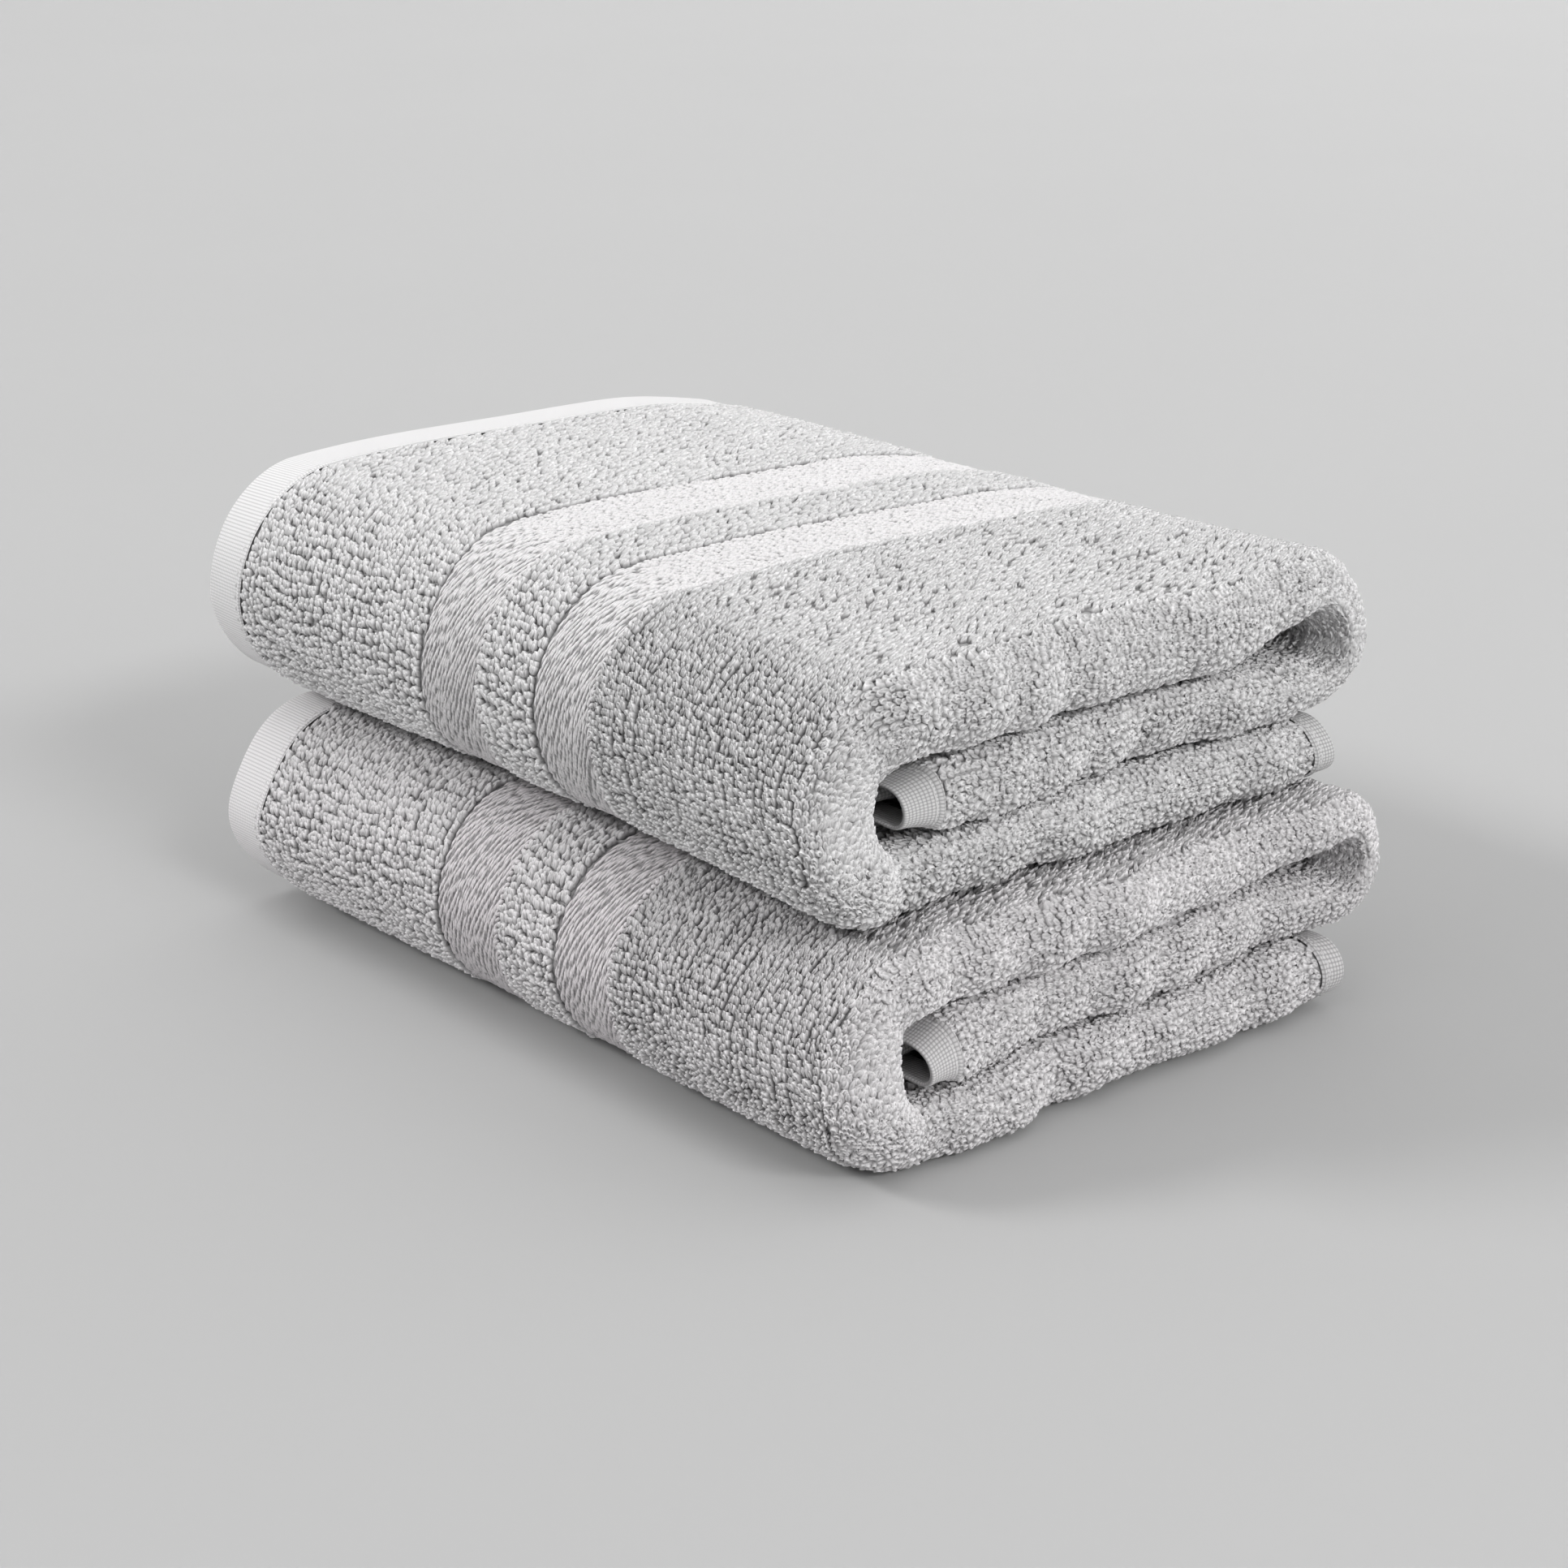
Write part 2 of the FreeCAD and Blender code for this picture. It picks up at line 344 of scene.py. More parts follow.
@dataclass(frozen=True)
class Drape:
    """How the stack settles: a soft crown, sagging folds, lumps and uneven ends."""

    low: Vector
    high: Vector
    middle_level: float
    crown: float = 10.0 * MM
    back_sag: float = 5.0 * MM
    corner_rise: float = 7.0 * MM
    upper_press: float = 6.5 * MM
    front_press: float = 4.0 * MM
    lump: float = 1.3 * MM
    end_play: float = 3.0 * MM
    bottom_bulge: float = 6.0 * MM

    def settle(self, x: np.ndarray, y: np.ndarray, z: np.ndarray) -> np.ndarray:
        """Move points of the neatly folded stack to where the settled stack has them.

        Every shift is a smooth field of the neat place, so surfaces that touch still
        touch. With u and w from -1 to 1 along X and Y and h from 0 to 1 in height: the
        crown is (1 - |w|^3.2)(0.85 - 0.25 w), full at the hem end and fading to the folded
        end; the back edge sags, less towards the folded end; the layers press down on each
        other there by half sines of the height; and the bottom layer bulges out in front.

        Args:
            x: Neat X in metres.
            y: Neat Y in metres.
            z: Neat Z in metres.

        Returns:
            Points as an array whose last axis is X, Y, Z.
        """
        middle = (self.low + self.high) / 2.0
        half = (self.high - self.low) / 2.0
        share = np.clip((z - self.low.z) / (self.high.z - self.low.z), 0.0, 1.05)
        u = np.clip((x - middle.x) / half.x, -1.0, 1.0)
        w = np.clip((y - middle.y) / half.y, -1.0, 1.0)
        dome = (1.0 - np.abs(w) ** 3.2) * (0.85 - 0.25 * w)
        lift = self.crown * dome * (0.1 + 0.9 * smooth_step(-u, -1.0, 0.4)) * share**1.4
        edge = smooth_step(w, 0.45, 1.0) * share**0.7
        lift = lift - edge * (self.back_sag - self.corner_rise * smooth_step(u, -0.3, 1.0))
        above = np.clip((z - self.middle_level) / (self.high.z - self.middle_level), 0.0, 1.0)
        folded_end = smooth_step(u, -0.3, 0.95)
        lift = lift - self.upper_press * np.sin(math.pi * above**1.6) * folded_end
        front = smooth_step(-w, 0.1, 0.9)
        press = np.sin(math.pi * np.clip(share, 0.0, 1.0))
        lift = lift - self.front_press * press * folded_end * front
        free = smooth_step(share, 0.02, 0.35)
        up = Ripple(11, 90 * MM, 260 * MM).at(x, y, z * 2.0)
        sideways = Ripple(12, 80 * MM, 240 * MM).at(x, y, z * 2.0)
        lengthways = Ripple(13, 55 * MM, 150 * MM).at(y, z * 2.0)
        far = smooth_step(x, middle.x, self.high.x)
        near = smooth_step(-x, -middle.x, -self.low.x)
        bulge = np.exp(-(((w + 0.5) / 0.24) ** 2)) - 0.4 * np.exp(-(((w - 0.2) / 0.22) ** 2))
        bulge = self.bottom_bulge * bulge * far * (1.0 - smooth_step(share, 0.1, 0.26))
        return np.stack(
            [
                x + self.end_play * lengthways * (far - 0.4 * near) + bulge,
                y + self.lump * sideways * free,
                z + lift + self.lump * up * free * (1.0 - 0.5 * share),
            ],
            axis=-1,
        )


@dataclass
class FoldedCloth:
    """One towel as a map from cloth to space: distance along, distance across, lift."""

    name: str
    width: WidthPath
    length: LengthPath
    drape: Drape
    zones: dict[Weave, tuple[float, float]]
    hinge: Vector
    bottom_squeeze: float = 0.05
    tucked_squeeze: float = 0.42
    squeeze_reach: float = 26.0 * MM
    puffs: float = 1.4 * MM
    stuffing: float = 0.8
    pocket: float = 0.66
    pocket_depth: float = 10.0 * MM
    pocket_reach: float = 88.0 * MM

    @classmethod
    def from_frame(cls, name: str, drape: Drape) -> "FoldedCloth":
        """Read a towel's sizes from its CAD nodes.

        Args:
            name: "lower" or "upper", the prefix of the towel's nodes and bodies.
            drape: How the whole stack settles.

        Returns:
            The towel's cloth, folded as the nodes are.
        """
        base_low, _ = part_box(f"{name}_base_main_terry")
        _, flap_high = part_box(f"{name}_flap_main_terry")
        bottom_low, bottom_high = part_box(f"{name}_base_side_hem")
        tucked_low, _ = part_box(f"{name}_flap_side_hem")
        third = (flap_high.z - base_low.z) / 3.0
        width = WidthPath(
            third=third,
            rise=base_low.z,
            front_centre=base_low.y + 1.5 * third,
            back_centre=flap_high.y - third,
            bottom_edge=bottom_high.y - 1.0 * MM,
            tucked_edge=tucked_low.y + 9.0 * MM,
        )
        outer = 0.5 * third - PILE_HEIGHT
        length = LengthPath(
            start=bottom_low.x - 1.0 * MM,
            end=bottom_high.x - PILE_HEIGHT,
            outer=outer,
            inner=outer * 0.36,
            bulge=9.5 * MM,
        )
        zones = {}
        for zone in Weave:
            low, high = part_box(f"{name}_flap_{zone.value}")
            zones[zone] = (low.x - length.start, high.x - length.start)
        zones[Weave.MAIN_TERRY] = (zones[Weave.MAIN_TERRY][0], length.marks["third_ply"])
        zones[Weave.END_TERRY] = (
            zones[Weave.END_TERRY][0] + HEM_OVERLAP,
            zones[Weave.END_TERRY][1] - BAND_OVERLAP,
        )
        start, end = zones[Weave.OUTER_BAND]
        zones[Weave.OUTER_BAND] = (start - BAND_OVERLAP, end)
        hinge = Vector(joint_named(f"{name}_flap_fold")["pos_m"])
        return cls(name, width, length, drape, zones, hinge)

    def point(self, along: np.ndarray, across: np.ndarray, lift: np.ndarray) -> np.ndarray:
        """Where a point of the cloth lies.

        The length path gives X and the offset of the ply, lifted along its outward
        direction; the width path gives the place of the panel, which the offset leaves at
        right angles; the offset shrinks near the side hems, which are thinner than terry;
        and the drape settles the result.

        Args:
            along: Distance from the first end hem.
            across: Distance from the bottom third's free edge.
            lift: Height over the ground weave on the towel's right side.

        Returns:
            Points as an array whose last axis is X, Y, Z.
        """
        x, offset, out_x, out_offset = self.length.at(along)
        puff = Ripple(17, 20 * MM, 60 * MM).at(across, 0.35 * offset)
        near_fold = smooth_step(x, self.length.end - 22 * MM, self.length.end)
        x = x + lift * out_x + self.puffs * near_fold * puff
        offset = offset + lift * out_offset
        inside = np.clip(-offset / self.length.outer, 0.0, 1.0)
        x = x - self.pocket_depth * near_fold * inside * self.by_back(across)
        y, z, out_y, out_z = self.width.at(across)
        offset = offset * self.fullness(across, offset)
        return self.drape.settle(x, y + offset * out_y, z + offset * out_z)

    def by_back(self, across: np.ndarray) -> np.ndarray:
        """One at the middle of the back fold, falling smoothly to nought to both sides."""
        bottom_run, front, top, back, _ = self.width.lengths
        distance = np.abs(across - (bottom_run + front + top + back / 2.0))
        return 1.0 - smooth_step(distance, 0.0, self.pocket_reach)

    def fullness(self, across: np.ndarray, offset: np.ndarray) -> np.ndarray:
        """How full the four plies are, as a share of the usual offset.

        They thin towards the side hems. Their inner side swells to fill the front fold, and
        stands back from the middle of the back fold, which leaves a pocket there.
        """
        total = self.width.total
        bottom = 1.0 - smooth_step(across, 0.0, self.squeeze_reach)
        tucked = 1.0 - smooth_step(total - across, 0.0, self.squeeze_reach)
        bottom_run, front, _, _, _ = self.width.lengths
        pocket = self.by_back(across) * (offset < 0.0)
        round_front = np.clip((across - bottom_run) / front, 0.0, 1.0)
        return (
            1.0
            + self.stuffing * np.sin(math.pi * round_front) * (offset < 0.0)
            - self.bottom_squeeze * bottom
            - self.tucked_squeeze * tucked
            - self.pocket * pocket
        )

    def axes(
        self, along: np.ndarray, across: np.ndarray, lift: float
    ) -> tuple[np.ndarray, np.ndarray, np.ndarray, np.ndarray]:
        """Place, and unit directions along, across and outward, by small differences.

        Args:
            along: Distance from the first end hem.
            across: Distance from the bottom third's free edge.
            lift: Height over the ground weave.

        Returns:
            Points, the direction along, the direction across, and the outward direction.
        """
        reach = 0.4 * MM
        height = np.full(np.broadcast(along, across).shape, lift)
        here = self.point(along, across, height)
        ahead = self.point(along + reach, across, height) - self.point(
            along - reach, across, height
        )
        beside = self.point(along, across + reach, height) - self.point(
            along, across - reach, height
        )
        outward = np.cross(ahead, beside)
        outward /= np.linalg.norm(outward, axis=-1, keepdims=True)
        beside /= np.linalg.norm(beside, axis=-1, keepdims=True)
        return here, np.cross(beside, outward), beside, outward

    def surface(
        self,
        along: np.ndarray,
        across: np.ndarray,
        lift: np.ndarray,
        marks: tuple[np.ndarray, ...],
        flipped: bool = False,
    ) -> tuple[np.ndarray, np.ndarray, np.ndarray]:
        """A grid on the cloth, as arrays for a mesh.

        Args:
            along: Distances from the first end hem, one for each point of the grid.
            across: Distances from the bottom third's free edge.
            lift: Heights over the ground weave.
            marks: The three parts of each point's "cloth" vector.
            flipped: Whether the faces look the other way.

        Returns:
            Points, faces and "cloth" vectors.
        """
        points = self.point(along, across, lift).reshape(-1, 3)
        faces = grid_faces(*along.shape)
        return points, faces[:, ::-1] if flipped else faces, np.stack(marks, axis=-1).reshape(-1, 3)

    def joins(self, third: Third) -> tuple[str, ...]:
        """The bodies that a stretch of the width lies on; the fold lies on both and rides on
        neither.
        """
        base, flap = f"{self.name}_base", f"{self.name}_flap"
        return {Third.BASE: (base,), Third.FOLD: (base, flap), Third.FLAP: (flap,)}[third]

    def attach(self, piece: bpy.types.Object, third: Third) -> bpy.types.Object:
        """Make a piece follow its stretch of the towel.

        The front fold keeps its place, baked into its points, and the other stretches ride on one
        body.
        """
        if third is Third.FOLD:
            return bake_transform(piece)
        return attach(piece, self.joins(third)[0])


def joint_named(name: str) -> dict:
    """The frame's joint with that name."""
    return next(joint for joint in frame["joints"] if joint["name"] == name)


# ---------------------------------------------------------------- meshes from arrays


def make_piece(
    name: str,
    vertices: np.ndarray,
    faces: np.ndarray,
    material: bpy.types.Material,
    attributes: dict[str, np.ndarray] | None = None,
) -> bpy.types.Object:
    """Put arrays into a smooth-shaded mesh object at the origin.

    Args:
        name: The piece's name.
        vertices: Points, one to a row.
        faces: Corner numbers of quads, one face to a row.
        material: The piece's finish.
        attributes: Vectors for each vertex, by attribute name.

    Returns:
        The new object, in the scene.
    """
    mesh = bpy.data.meshes.new(name)
    count, corners = faces.shape
    mesh.vertices.add(len(vertices))
    mesh.vertices.foreach_set("co", vertices.astype(np.float32).ravel())
    mesh.loops.add(count * corners)
    mesh.loops.foreach_set("vertex_index", faces.astype(np.int32).ravel())
    mesh.polygons.add(count)
    mesh.polygons.foreach_set("loop_start", np.arange(0, count * corners, corners))
    mesh.polygons.foreach_set("use_smooth", np.ones(count, dtype=bool))
    for label, values in (attributes or {}).items():
        layer = mesh.attributes.new(label, "FLOAT_VECTOR", "POINT")
        layer.data.foreach_set("vector", values.astype(np.float32).ravel())
    mesh.update(calc_edges=True)
    mesh.validate()
    mesh.materials.append(material)
    piece = bpy.data.objects.new(name, mesh)
    bpy.context.scene.collection.objects.link(piece)
    return piece


def grid_faces(rows: int, columns: int, closed: bool = False) -> np.ndarray:
    """Quads of a grid of points stored row by row, facing rows-cross-columns.

    Args:
        rows: Points along the first parameter.
        columns: Points along the second parameter.
        closed: Whether the last column joins the first.

    Returns:
        Corner numbers, four to a face.
    """
    row = np.arange(rows - 1)[:, None]
    column = np.arange(columns if closed else columns - 1)[None, :]
    following = (column + 1) % columns
    corners = [
        row * columns + column,
        (row + 1) * columns + column,
        (row + 1) * columns + following,
        row * columns + following,
    ]
    return np.stack([np.broadcast_to(c, (rows - 1, column.size)) for c in corners], -1).reshape(
        -1, 4
    )


def scatter(
    pattern: np.ndarray, pattern_faces: np.ndarray, centres: np.ndarray, axes: np.ndarray
) -> tuple[np.ndarray, np.ndarray]:
    """Copy a small shape to many places at once.

    Each copy's points are its centre plus the pattern's three coordinates times its own
    three axes, whose lengths scale it.

    Args:
        pattern: Points of the shape, one set for each copy or one for all.
        pattern_faces: Corner numbers of the shape's faces.
        centres: One place for each copy.
        axes: Three vectors for each copy.

    Returns:
        All points and all faces.
    """
    count = len(centres)
    shape = np.broadcast_to(pattern, (count, *pattern.shape[-2:]))
    points = centres[:, None, :] + np.einsum("npk,nkx->npx", shape, axes)
    shift = np.arange(count)[:, None, None] * shape.shape[1]
    faces = pattern_faces[None, :, :] + shift
    return points.reshape(-1, 3), faces.reshape(-1, pattern_faces.shape[1])


# ---------------------------------------------------------------- finishes


class Tree:
    """A short way to add and wire shader nodes."""

    def __init__(self, tree: bpy.types.NodeTree) -> None:
        """Keep the tree that the nodes go into."""
        self.tree = tree

    def add(self, kind: str, **settings: object) -> bpy.types.Node:
        """Add a node and set its properties."""
        node = self.tree.nodes.new(kind)
        for label, value in settings.items():
            setattr(node, label, value)
        return node

    def wire(self, source: bpy.types.NodeSocket, target: bpy.types.NodeSocket) -> None:
        """Join an output to an input."""
        self.tree.links.new(source, target)

    def feed(self, socket: bpy.types.NodeSocket, value: object) -> None:
        """Wire a socket or set its value."""
        if isinstance(value, bpy.types.NodeSocket):
            self.wire(value, socket)
        else:
            socket.default_value = value

    def math(self, operation: str, *values: object, clamp: bool = False) -> bpy.types.NodeSocket:
        """A Math node of sockets or numbers, whose result may be clamped from 0 to 1."""
        node = self.add("ShaderNodeMath", operation=operation, use_clamp=clamp)
        for socket, value in zip(node.inputs, values):
            self.feed(socket, value)
        return node.outputs[0]

    def blend(self, share: object, first: object, second: object) -> bpy.types.NodeSocket:
        """A colour between two, as a Mix node."""
        node = self.add("ShaderNodeMix", data_type="RGBA")
        self.feed(node.inputs[0], share)
        self.feed(node.inputs[6], first)
        self.feed(node.inputs[7], second)
        return node.outputs[2]

    def place(self) -> bpy.types.NodeSocket:
        """The place in the object's own coordinates."""
        return self.add("ShaderNodeTexCoord").outputs["Object"]

    def attribute(self, name: str) -> bpy.types.NodeSocket:
        """A vector that the mesh carries."""
        return self.add("ShaderNodeAttribute", attribute_name=name).outputs["Vector"]

    def split(self, vector: bpy.types.NodeSocket) -> bpy.types.bpy_prop_collection:
        """The three parts of a vector."""
        node = self.add("ShaderNodeSeparateXYZ")
        self.wire(vector, node.inputs[0])
        return node.outputs

    def scaled(
        self, vector: bpy.types.NodeSocket, scale: tuple, turn: float = 0.0
    ) -> bpy.types.NodeSocket:
        """A vector turned about its third axis and scaled, as a Mapping node."""
        node = self.add("ShaderNodeMapping")
        node.inputs["Scale"].default_value = scale
        node.inputs["Rotation"].default_value = (0.0, 0.0, turn)
        self.wire(vector, node.inputs["Vector"])
        return node.outputs["Vector"]

    def noise(
        self, vector: bpy.types.NodeSocket, scale: object, detail: float
    ) -> bpy.types.NodeSocket:
        """A noise from 0 to 1."""
        node = self.add("ShaderNodeTexNoise")
        node.inputs["Detail"].default_value = detail
        self.wire(vector, node.inputs["Vector"])
        self.feed(node.inputs["Scale"], scale)
        return node.outputs["Fac"]

    def effect(
        self, group: bpy.types.NodeTree, vector: bpy.types.NodeSocket
    ) -> bpy.types.NodeSocket:
        """The result of a shared node group at a vector."""
        node = self.add("ShaderNodeGroup", node_tree=group)
        self.wire(vector, node.inputs["Vector"])
        return node.outputs[0]


def node_group(
    name: str, inputs: dict[str, float], output: str
) -> tuple[Tree, bpy.types.bpy_prop_collection, bpy.types.NodeSocket]:
    """Start a shader node group with a vector input, number inputs and one number output.

    Args:
        name: The group's name.
        inputs: Default of each number input.
        output: Name of the output.

    Returns:
        The group's tree, its inputs as sockets to wire from, and where the result goes.
    """
    group = bpy.data.node_groups.new(name, "ShaderNodeTree")
    group.interface.new_socket("Vector", in_out="INPUT", socket_type="NodeSocketVector")
    for label, default in inputs.items():
        socket = group.interface.new_socket(label, in_out="INPUT", socket_type="NodeSocketFloat")
        socket.default_value = default
    group.interface.new_socket(output, in_out="OUTPUT", socket_type="NodeSocketFloat")
    source = group.nodes.new("NodeGroupInput")
    sink = group.nodes.new("NodeGroupOutput")
    return Tree(group), source.outputs, sink.inputs[output]


class Effects:
    """Shader node groups that several finishes share, each built once."""

    def __init__(self) -> None:
        """Build the groups."""
        self.twist = self._twist()
        self.drift = self._drift()
        self.weave = self._weave()

    @staticmethod
    def _twist() -> bpy.types.NodeTree:
        """Relief of two twisted yarns with fine fibres.

        Height is the absolute sine across the yarn, which gives two ridges, plus slanting
        waves for the twist and a noise for the fibres.
        """
        tree, source, result = node_group("yarn_twist", {"Turns": 5.0, "Fibre": 0.3}, "Height")
        across, up, _ = tree.split(source["Vector"])
        ridges = tree.math("ABSOLUTE", tree.math("SINE", tree.math("MULTIPLY", across, FULL_TURN)))
        slant = tree.math(
            "ADD",
            tree.math("MULTIPLY", across, 9.0),
            tree.math("MULTIPLY", up, source["Turns"]),
        )
        twist = tree.math("SINE", tree.math("MULTIPLY", slant, FULL_TURN))
        fibres = tree.math("MULTIPLY", tree.noise(source["Vector"], 14.0, 3.0), source["Fibre"])
        height = tree.math(
            "ADD", tree.math("MULTIPLY", ridges, 0.7), tree.math("MULTIPLY", twist, 0.14)
        )
        tree.wire(tree.math("ADD", height, fibres), result)
        return tree.tree

    @staticmethod
    def _drift() -> bpy.types.NodeTree:
        """Slow changes of tone over a cloth, from two sizes of noise."""
        tree, source, result = node_group("tone_drift", {"Broad": 9.0, "Fine": 60.0}, "Tone")
        tones = [
            tree.math("MULTIPLY", tree.noise(source["Vector"], source[label], 2.0), share)
            for label, share in (("Broad", 0.6), ("Fine", 0.4))
        ]
        tree.wire(tree.math("ADD", *tones), result)
        return tree.tree

    @staticmethod
    def _weave() -> bpy.types.NodeTree:
        """Plain weave: threads over and under each other, as a product of two sines.

        The vector counts threads: one unit along each axis is one thread.
        """
        tree, source, result = node_group("plain_weave", {"Round": 0.5}, "Height")
        parts = tree.split(source["Vector"])
        waves = [
            tree.math("SINE", tree.math("MULTIPLY", parts[axis], math.pi)) for axis in (0, 1)
        ]
        over = tree.math("ABSOLUTE", tree.math("MULTIPLY", *waves))
        tree.wire(tree.math("POWER", over, source["Round"]), result)
        return tree.tree


def grey(level: float, warmth: float = 0.0) -> tuple[float, float, float, float]:
    """A near-neutral linear colour; warmth leans it from green to a faint pink."""
    return (level * (1.0 + warmth), level * (1.0 - warmth), level, 1.0)


def base_material(name: str) -> tuple[bpy.types.Material, Tree, bpy.types.Node]:
    """A new material, its tree and its Principled shader."""
    material = bpy.data.materials.new(name)
    material.use_nodes = True
    return material, Tree(material.node_tree), material.node_tree.nodes["Principled BSDF"]


def lay_on(
    tree: Tree,
    shader: bpy.types.Node,
    colour: bpy.types.NodeSocket,
    values: dict[str, float],
    height: bpy.types.NodeSocket | None = None,
    strength: float = 0.0,
    depth: float = 0.0,
) -> None:
    """Wire a colour and a relief to a shader, and set its other values.

    Args:
        tree: The material's tree.
        shader: Its Principled shader.
        colour: What its base colour follows.
        values: Numbers for its other inputs, by name.
        height: What its relief follows, if it has one.
        strength: Strength of the relief.
        depth: Depth of the relief in metres.
    """
    tree.wire(colour, shader.inputs["Base Color"])
    for label, value in values.items():
        shader.inputs[label].default_value = value
    if height is None:
        return
    bump = tree.add("ShaderNodeBump")
    bump.inputs["Strength"].default_value = strength
    bump.inputs["Distance"].default_value = depth
    tree.wire(height, bump.inputs["Height"])
    tree.wire(bump.outputs["Normal"], shader.inputs["Normal"])


@dataclass(frozen=True)
class Finish:
    """A cloth's material whose colour runs from its dark to its light; on the pile, the ground weave
    and the bands the dark is painted shade in the low places.
    """

    effects: Effects
    name: str
    warmth: float
    light: float
    dark: float

    def tint(self, tree: Tree, share: bpy.types.NodeSocket) -> bpy.types.NodeSocket:
        """The colour between the finish's dark and its light."""
        return tree.blend(share, grey(self.dark, self.warmth), grey(self.light, self.warmth))


@dataclass(frozen=True)
class PileFinish(Finish):
    """Looped cotton yarn, with painted shade: light ridges, darker eyes, and dark feet where the
    loops meet the weave.
    """

    light: float = 0.99
    # dark: the painted shade at the feet of the loops
    dark: float = 0.08

    def build(self) -> bpy.types.Material:
        """Colour from the painted shade on the loop, a lightening on top of the stack and its tone;
        relief from the twist.
        """
        material, tree, shader = base_material(self.name)
        strand_and_shade = tree.attribute("strand_and_shade")
        # the third part of each point's vector is painted shade, set on the loop shape
        level = tree.split(strand_and_shade)[2]
        own = tree.split(tree.attribute("loop"))
        drift = tree.effect(self.effects.drift, tree.place())
        twist = tree.effect(self.effects.twist, strand_and_shade)
        # painted shade: the twist's grooves darker and its ridges lighter, over the painted shade of
        # the loop
        ridge = tree.math("MULTIPLY_ADD", twist, 0.2, tree.math("POWER", level, 1.8))
        shown = tree.math("SUBTRACT", ridge, 0.08)
        # the loop's third part lightens the loops on the top of the stack
        share = tree.math("ADD", shown, own[2], clamp=True)
        tone = tree.math(
            "ADD",
            tree.math("MULTIPLY_ADD", own[0], 0.14, 0.86),
            tree.math("MULTIPLY_ADD", drift, 0.16, -0.04),
        )
        toned = tree.add("ShaderNodeVectorMath", operation="SCALE")
        tree.wire(self.tint(tree, share), toned.inputs[0])
        tree.wire(tone, toned.inputs["Scale"])
        values = {
            "Roughness": 0.8,
            "Specular IOR Level": 0.3,
            "Sheen Weight": 0.2,
            "Sheen Roughness": 0.5,
        }
        lay_on(tree, shader, toned.outputs[0], values, twist, 0.3, 0.35 * MM)
        return material


@dataclass(frozen=True)
class GroundFinish(Finish):
    """The ground weave under the loops, with stubby loops of its own where it shows; it is painted
    darker than the loops, as painted shade under them.
    """

    # light and dark: painted shade under the loops, darker than the loops' own cotton
    light: float = 0.55
    dark: float = 0.22

    def build(self) -> bpy.types.Material:
        """Grains from cell noise in the cloth's own coordinates, as relief and as colour with
        painted shade towards the grains' edges.
        """
        material, tree, shader = base_material(self.name)
        cells = tree.add("ShaderNodeTexVoronoi", feature="F1")
        cells.inputs["Scale"].default_value = 1.0
        tree.wire(tree.scaled(tree.attribute("cloth"), (440.0, 240.0, 1.0)), cells.inputs["Vector"])
        # painted shade: the grains darker towards their edges
        grain = tree.math("SUBTRACT", 1.0, cells.outputs["Distance"], clamp=True)
        values = {"Roughness": 0.95, "Specular IOR Level": 0.1}
        lay_on(tree, shader, self.tint(tree, grain), values, grain, 0.8, 1.2 * MM)
        return material


@dataclass(frozen=True)
class BandFinish(Finish):
    """Flat woven band: fine threads round the fold with a faint sheen."""

    light: float = 0.91
    # dark: the painted shade between the floats
    dark: float = 0.08

    def build(self) -> bpy.types.Material:
        """Thread tops light over a weave painted darker as painted shade between them, with fibres
        along the threads.
        """
        material, tree, shader = base_material(self.name)
        cloth = tree.attribute("cloth")
        weave = tree.effect(self.effects.weave, tree.scaled(cloth, (1300.0, 900.0, 0.0)))
        fibre = tree.noise(tree.scaled(cloth, (2400.0, 220.0, 0.0), 0.09), 1.0, 3.0)
        fine = tree.math("MULTIPLY_ADD", weave, 0.3, fibre)
        # painted shade: the cloth vector's third part is low on the weave and at the floats' ends
        # and sides
        share = tree.math(
            "ADD",
            tree.math("MULTIPLY", tree.split(cloth)[2], 0.85),
            tree.math("MULTIPLY_ADD", fine, 0.5, -0.12),
            clamp=True,
        )
        values = {"Roughness": 0.6, "Specular IOR Level": 0.35, "Sheen Weight": 0.2}
        lay_on(tree, shader, self.tint(tree, share), values, fine, 0.5, 0.3 * MM)
        return material


@dataclass(frozen=True)
class HemFinish(Finish):
    """Hem canvas: a small even plain weave, paler than the terry."""

    light: float = 0.9
    dark: float = 0.48
    threads: tuple = (1100.0, 1100.0, 0.0)

    def build(self) -> bpy.types.Material:
        """Knots of a plain weave as colour and relief."""
        material, tree, shader = base_material(self.name)
        count = tree.scaled(tree.attribute("cloth"), self.threads)
        weave = tree.effect(self.effects.weave, count)
        values = {"Roughness": 0.85, "Specular IOR Level": 0.2, "Sheen Weight": 0.15}
        lay_on(tree, shader, self.tint(tree, weave), values, weave, 0.6, 0.3 * MM)
        return material


@dataclass(frozen=True)
class ShadedSideHemFinish(HemFinish):
    """The coarser canvas of the side hems, painted darker than the end hems as painted shade, for
    hems that lie in shade.
    """

    # painted shade: light and dark set low for the shade on the side hems
    light: float = 0.68
    dark: float = 0.28
    threads: tuple = (700.0, 700.0, 0.0)


@dataclass(frozen=True)
class ThreadFinish(Finish):
    """Sewing thread, a little glossier than the cloth."""

    light: float = 0.85
    dark: float = 0.6

    def build(self) -> bpy.types.Material:
        """Pale thread with a fine twist."""
        material, tree, shader = base_material(self.name)
        wave = tree.add("ShaderNodeTexWave", bands_direction="DIAGONAL")
        wave.inputs["Scale"].default_value = 900.0
        tree.wire(tree.place(), wave.inputs["Vector"])
        lay_on(tree, shader, self.tint(tree, wave.outputs["Fac"]), {"Roughness": 0.6})
        return material


# ---------------------------------------------------------------- the pieces of one towel


